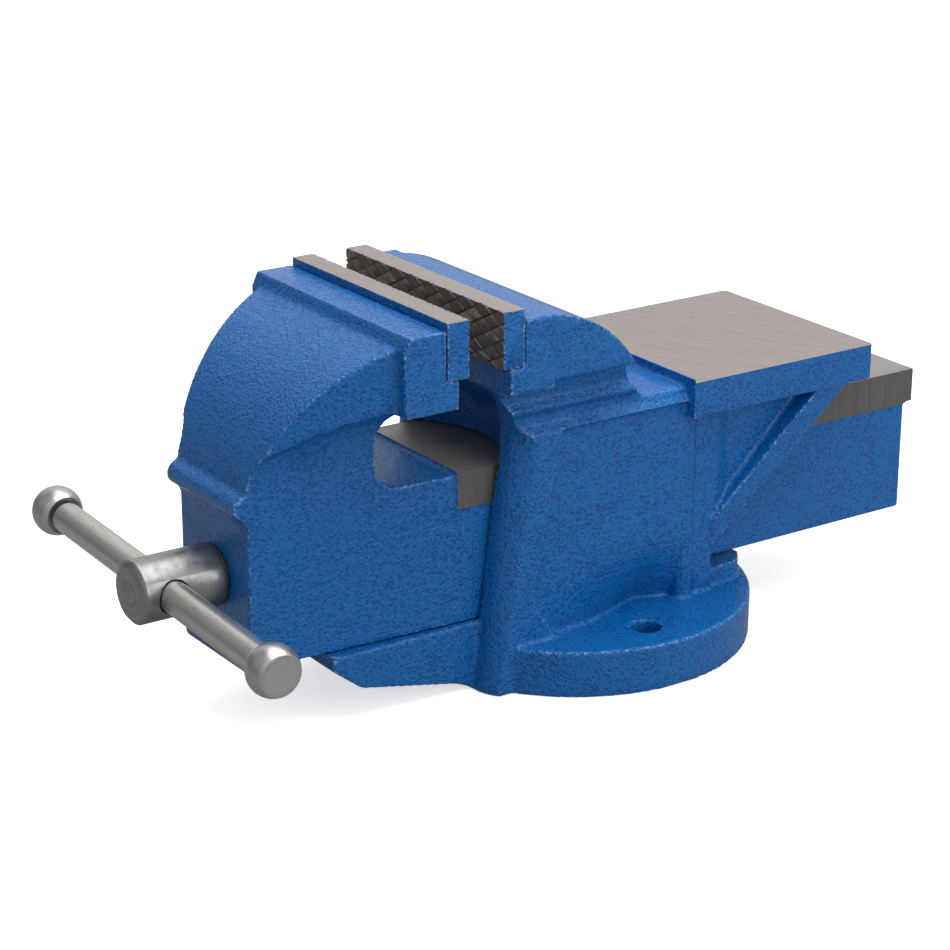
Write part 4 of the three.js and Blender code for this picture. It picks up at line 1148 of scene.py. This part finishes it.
class VISE_OT_stage(bpy.types.Operator):
    """Floor, lights and camera"""

    bl_idname = "vise.stage"
    bl_label = "Stage"

    def execute(self, context):
        settings = context.scene.vise_stage
        floor = block("floor", (-6, -6, -0.02), (6, 6, -0.0004))
        f = Finish("white_floor")
        grain = f.w.cloud(f.place, 400.0, 2.0)
        seen = f.w.add("ShaderNodeLightPath").outputs["Is Camera Ray"]
        pale = f.w.blend(grain, (0.93, 0.93, 0.93, 1), (0.97, 0.97, 0.97, 1))
        glow = f.w.blend(seen, (0.02, 0.02, 0.02, 1), (0.62, 0.62, 0.62, 1))
        f.set(Base_Color=f.w.blend(seen, (0.3, 0.3, 0.3, 1), pale), Roughness=0.9)
        f.set(Emission_Color=glow, Emission_Strength=1.0)
        floor.data.materials.append(f.material)

        world = bpy.data.worlds.new("white_room")
        world.use_nodes = True
        w = Wiring(world.node_tree)
        back = world.node_tree.nodes["Background"]
        toward = w.split(w.add("ShaderNodeTexCoord").outputs["Generated"])
        lit_side = w.step(toward[0], -0.2, 0.9, 0.1, 1.6)
        lit_top = w.step(toward[2], -0.1, 0.8, 0.0, 0.7)
        behind = w.vector("DOT_PRODUCT", w.join(*toward), (-0.76, 0.55, 0.35))
        lit_back = w.step(behind, 0.55, 0.98, 0.0, 1.9)
        lit_front = w.step(toward[1], -0.9, 0.0, 0.5, 0.0)
        shade = w.math("ADD", w.math("ADD", lit_side, lit_top), w.math("ADD", lit_back, lit_front))
        w.feed(back.inputs["Color"], w.join(shade, shade, shade))
        back.inputs["Strength"].default_value = settings.room
        context.scene.world = world

        for name, place, size, power in (
            ("top_softbox", (0.1, 0.15, 1.3), 1.3, settings.key),
            ("side_softbox", (1.6, 0.5, 0.6), 0.9, settings.side),
        ):
            data = bpy.data.lights.new(name, "AREA")
            data.shape = "SQUARE"
            data.size = size
            data.energy = power
            light = bpy.data.objects.new(name, data)
            light.location = place
            aim = Vector((0, 0, 0.1)) - Vector(place)
            light.rotation_euler = aim.to_track_quat("-Z", "Y").to_euler()
            context.scene.collection.objects.link(light)

        data = bpy.data.cameras.new("camera")
        data.lens = settings.lens
        data.sensor_width = 36.0
        data.clip_start, data.clip_end = 0.05, 30.0
        camera = bpy.data.objects.new("camera", data)
        context.scene.collection.objects.link(camera)
        turn, tilt, roll = (math.radians(a) for a in CAMERA_ANGLES)
        back = Vector((math.sin(turn) * math.cos(tilt), -math.cos(turn) * math.cos(tilt), math.sin(tilt)))
        right = Vector((math.cos(turn), math.sin(turn), 0))
        up = back.cross(right)
        rolled_right = right * math.cos(roll) + up * math.sin(roll)
        rolled_up = up * math.cos(roll) - right * math.sin(roll)
        facing = Matrix((rolled_right, rolled_up, back)).transposed()
        camera.matrix_world = Matrix.Translation(CAMERA_PLACE) @ facing.to_4x4()
        context.scene.camera = camera
        context.scene.view_settings.view_transform = "Standard"
        context.scene.view_settings.look = "None"
        return {"FINISHED"}

OPERATORS = (
    VISE_OT_fixed_casting, VISE_OT_moving_casting, VISE_OT_jaw_plates, VISE_OT_plate_screws,
    VISE_OT_spindle, VISE_OT_handle, VISE_OT_thrust_parts, VISE_OT_nut, VISE_OT_stage,
)


class VISE_PT_panel(bpy.types.Panel):
    """Lists the pieces of the vise"""

    bl_idname = "VISE_PT_panel"
    bl_label = "Bench Vise"
    bl_space_type = "VIEW_3D"
    bl_region_type = "UI"
    bl_category = "Vise"

    def draw(self, context):
        for operator in OPERATORS:
            self.layout.operator(operator.bl_idname)


GROUPS = {"vise_shape": ViseShape, "vise_paint": VisePaint, "vise_stage": ViseStage}
CLASSES = tuple(GROUPS.values()) + OPERATORS + (VISE_PT_panel,)


def register():
    for item in CLASSES:
        bpy.utils.register_class(item)
    for name, kind in GROUPS.items():
        setattr(bpy.types.Scene, name, PointerProperty(type=kind))


def unregister():
    for name in GROUPS:
        delattr(bpy.types.Scene, name)
    for item in reversed(CLASSES):
        bpy.utils.unregister_class(item)


def corners(bounds):
    """A box's two corners as plain lists of numbers."""
    return [[float(v) for v in corner] for corner in bounds]


def main():
    register()
    bpy.ops.vise.stage()
    bpy.ops.vise.fixed_casting()
    bpy.ops.vise.moving_casting()
    bpy.ops.vise.jaw_plates()
    bpy.ops.vise.plate_screws()
    bpy.ops.vise.spindle()
    bpy.ops.vise.handle()
    bpy.ops.vise.thrust_parts()
    bpy.ops.vise.nut()
    bpy.context.view_layer.update()


if __name__ == "__main__":
    main()
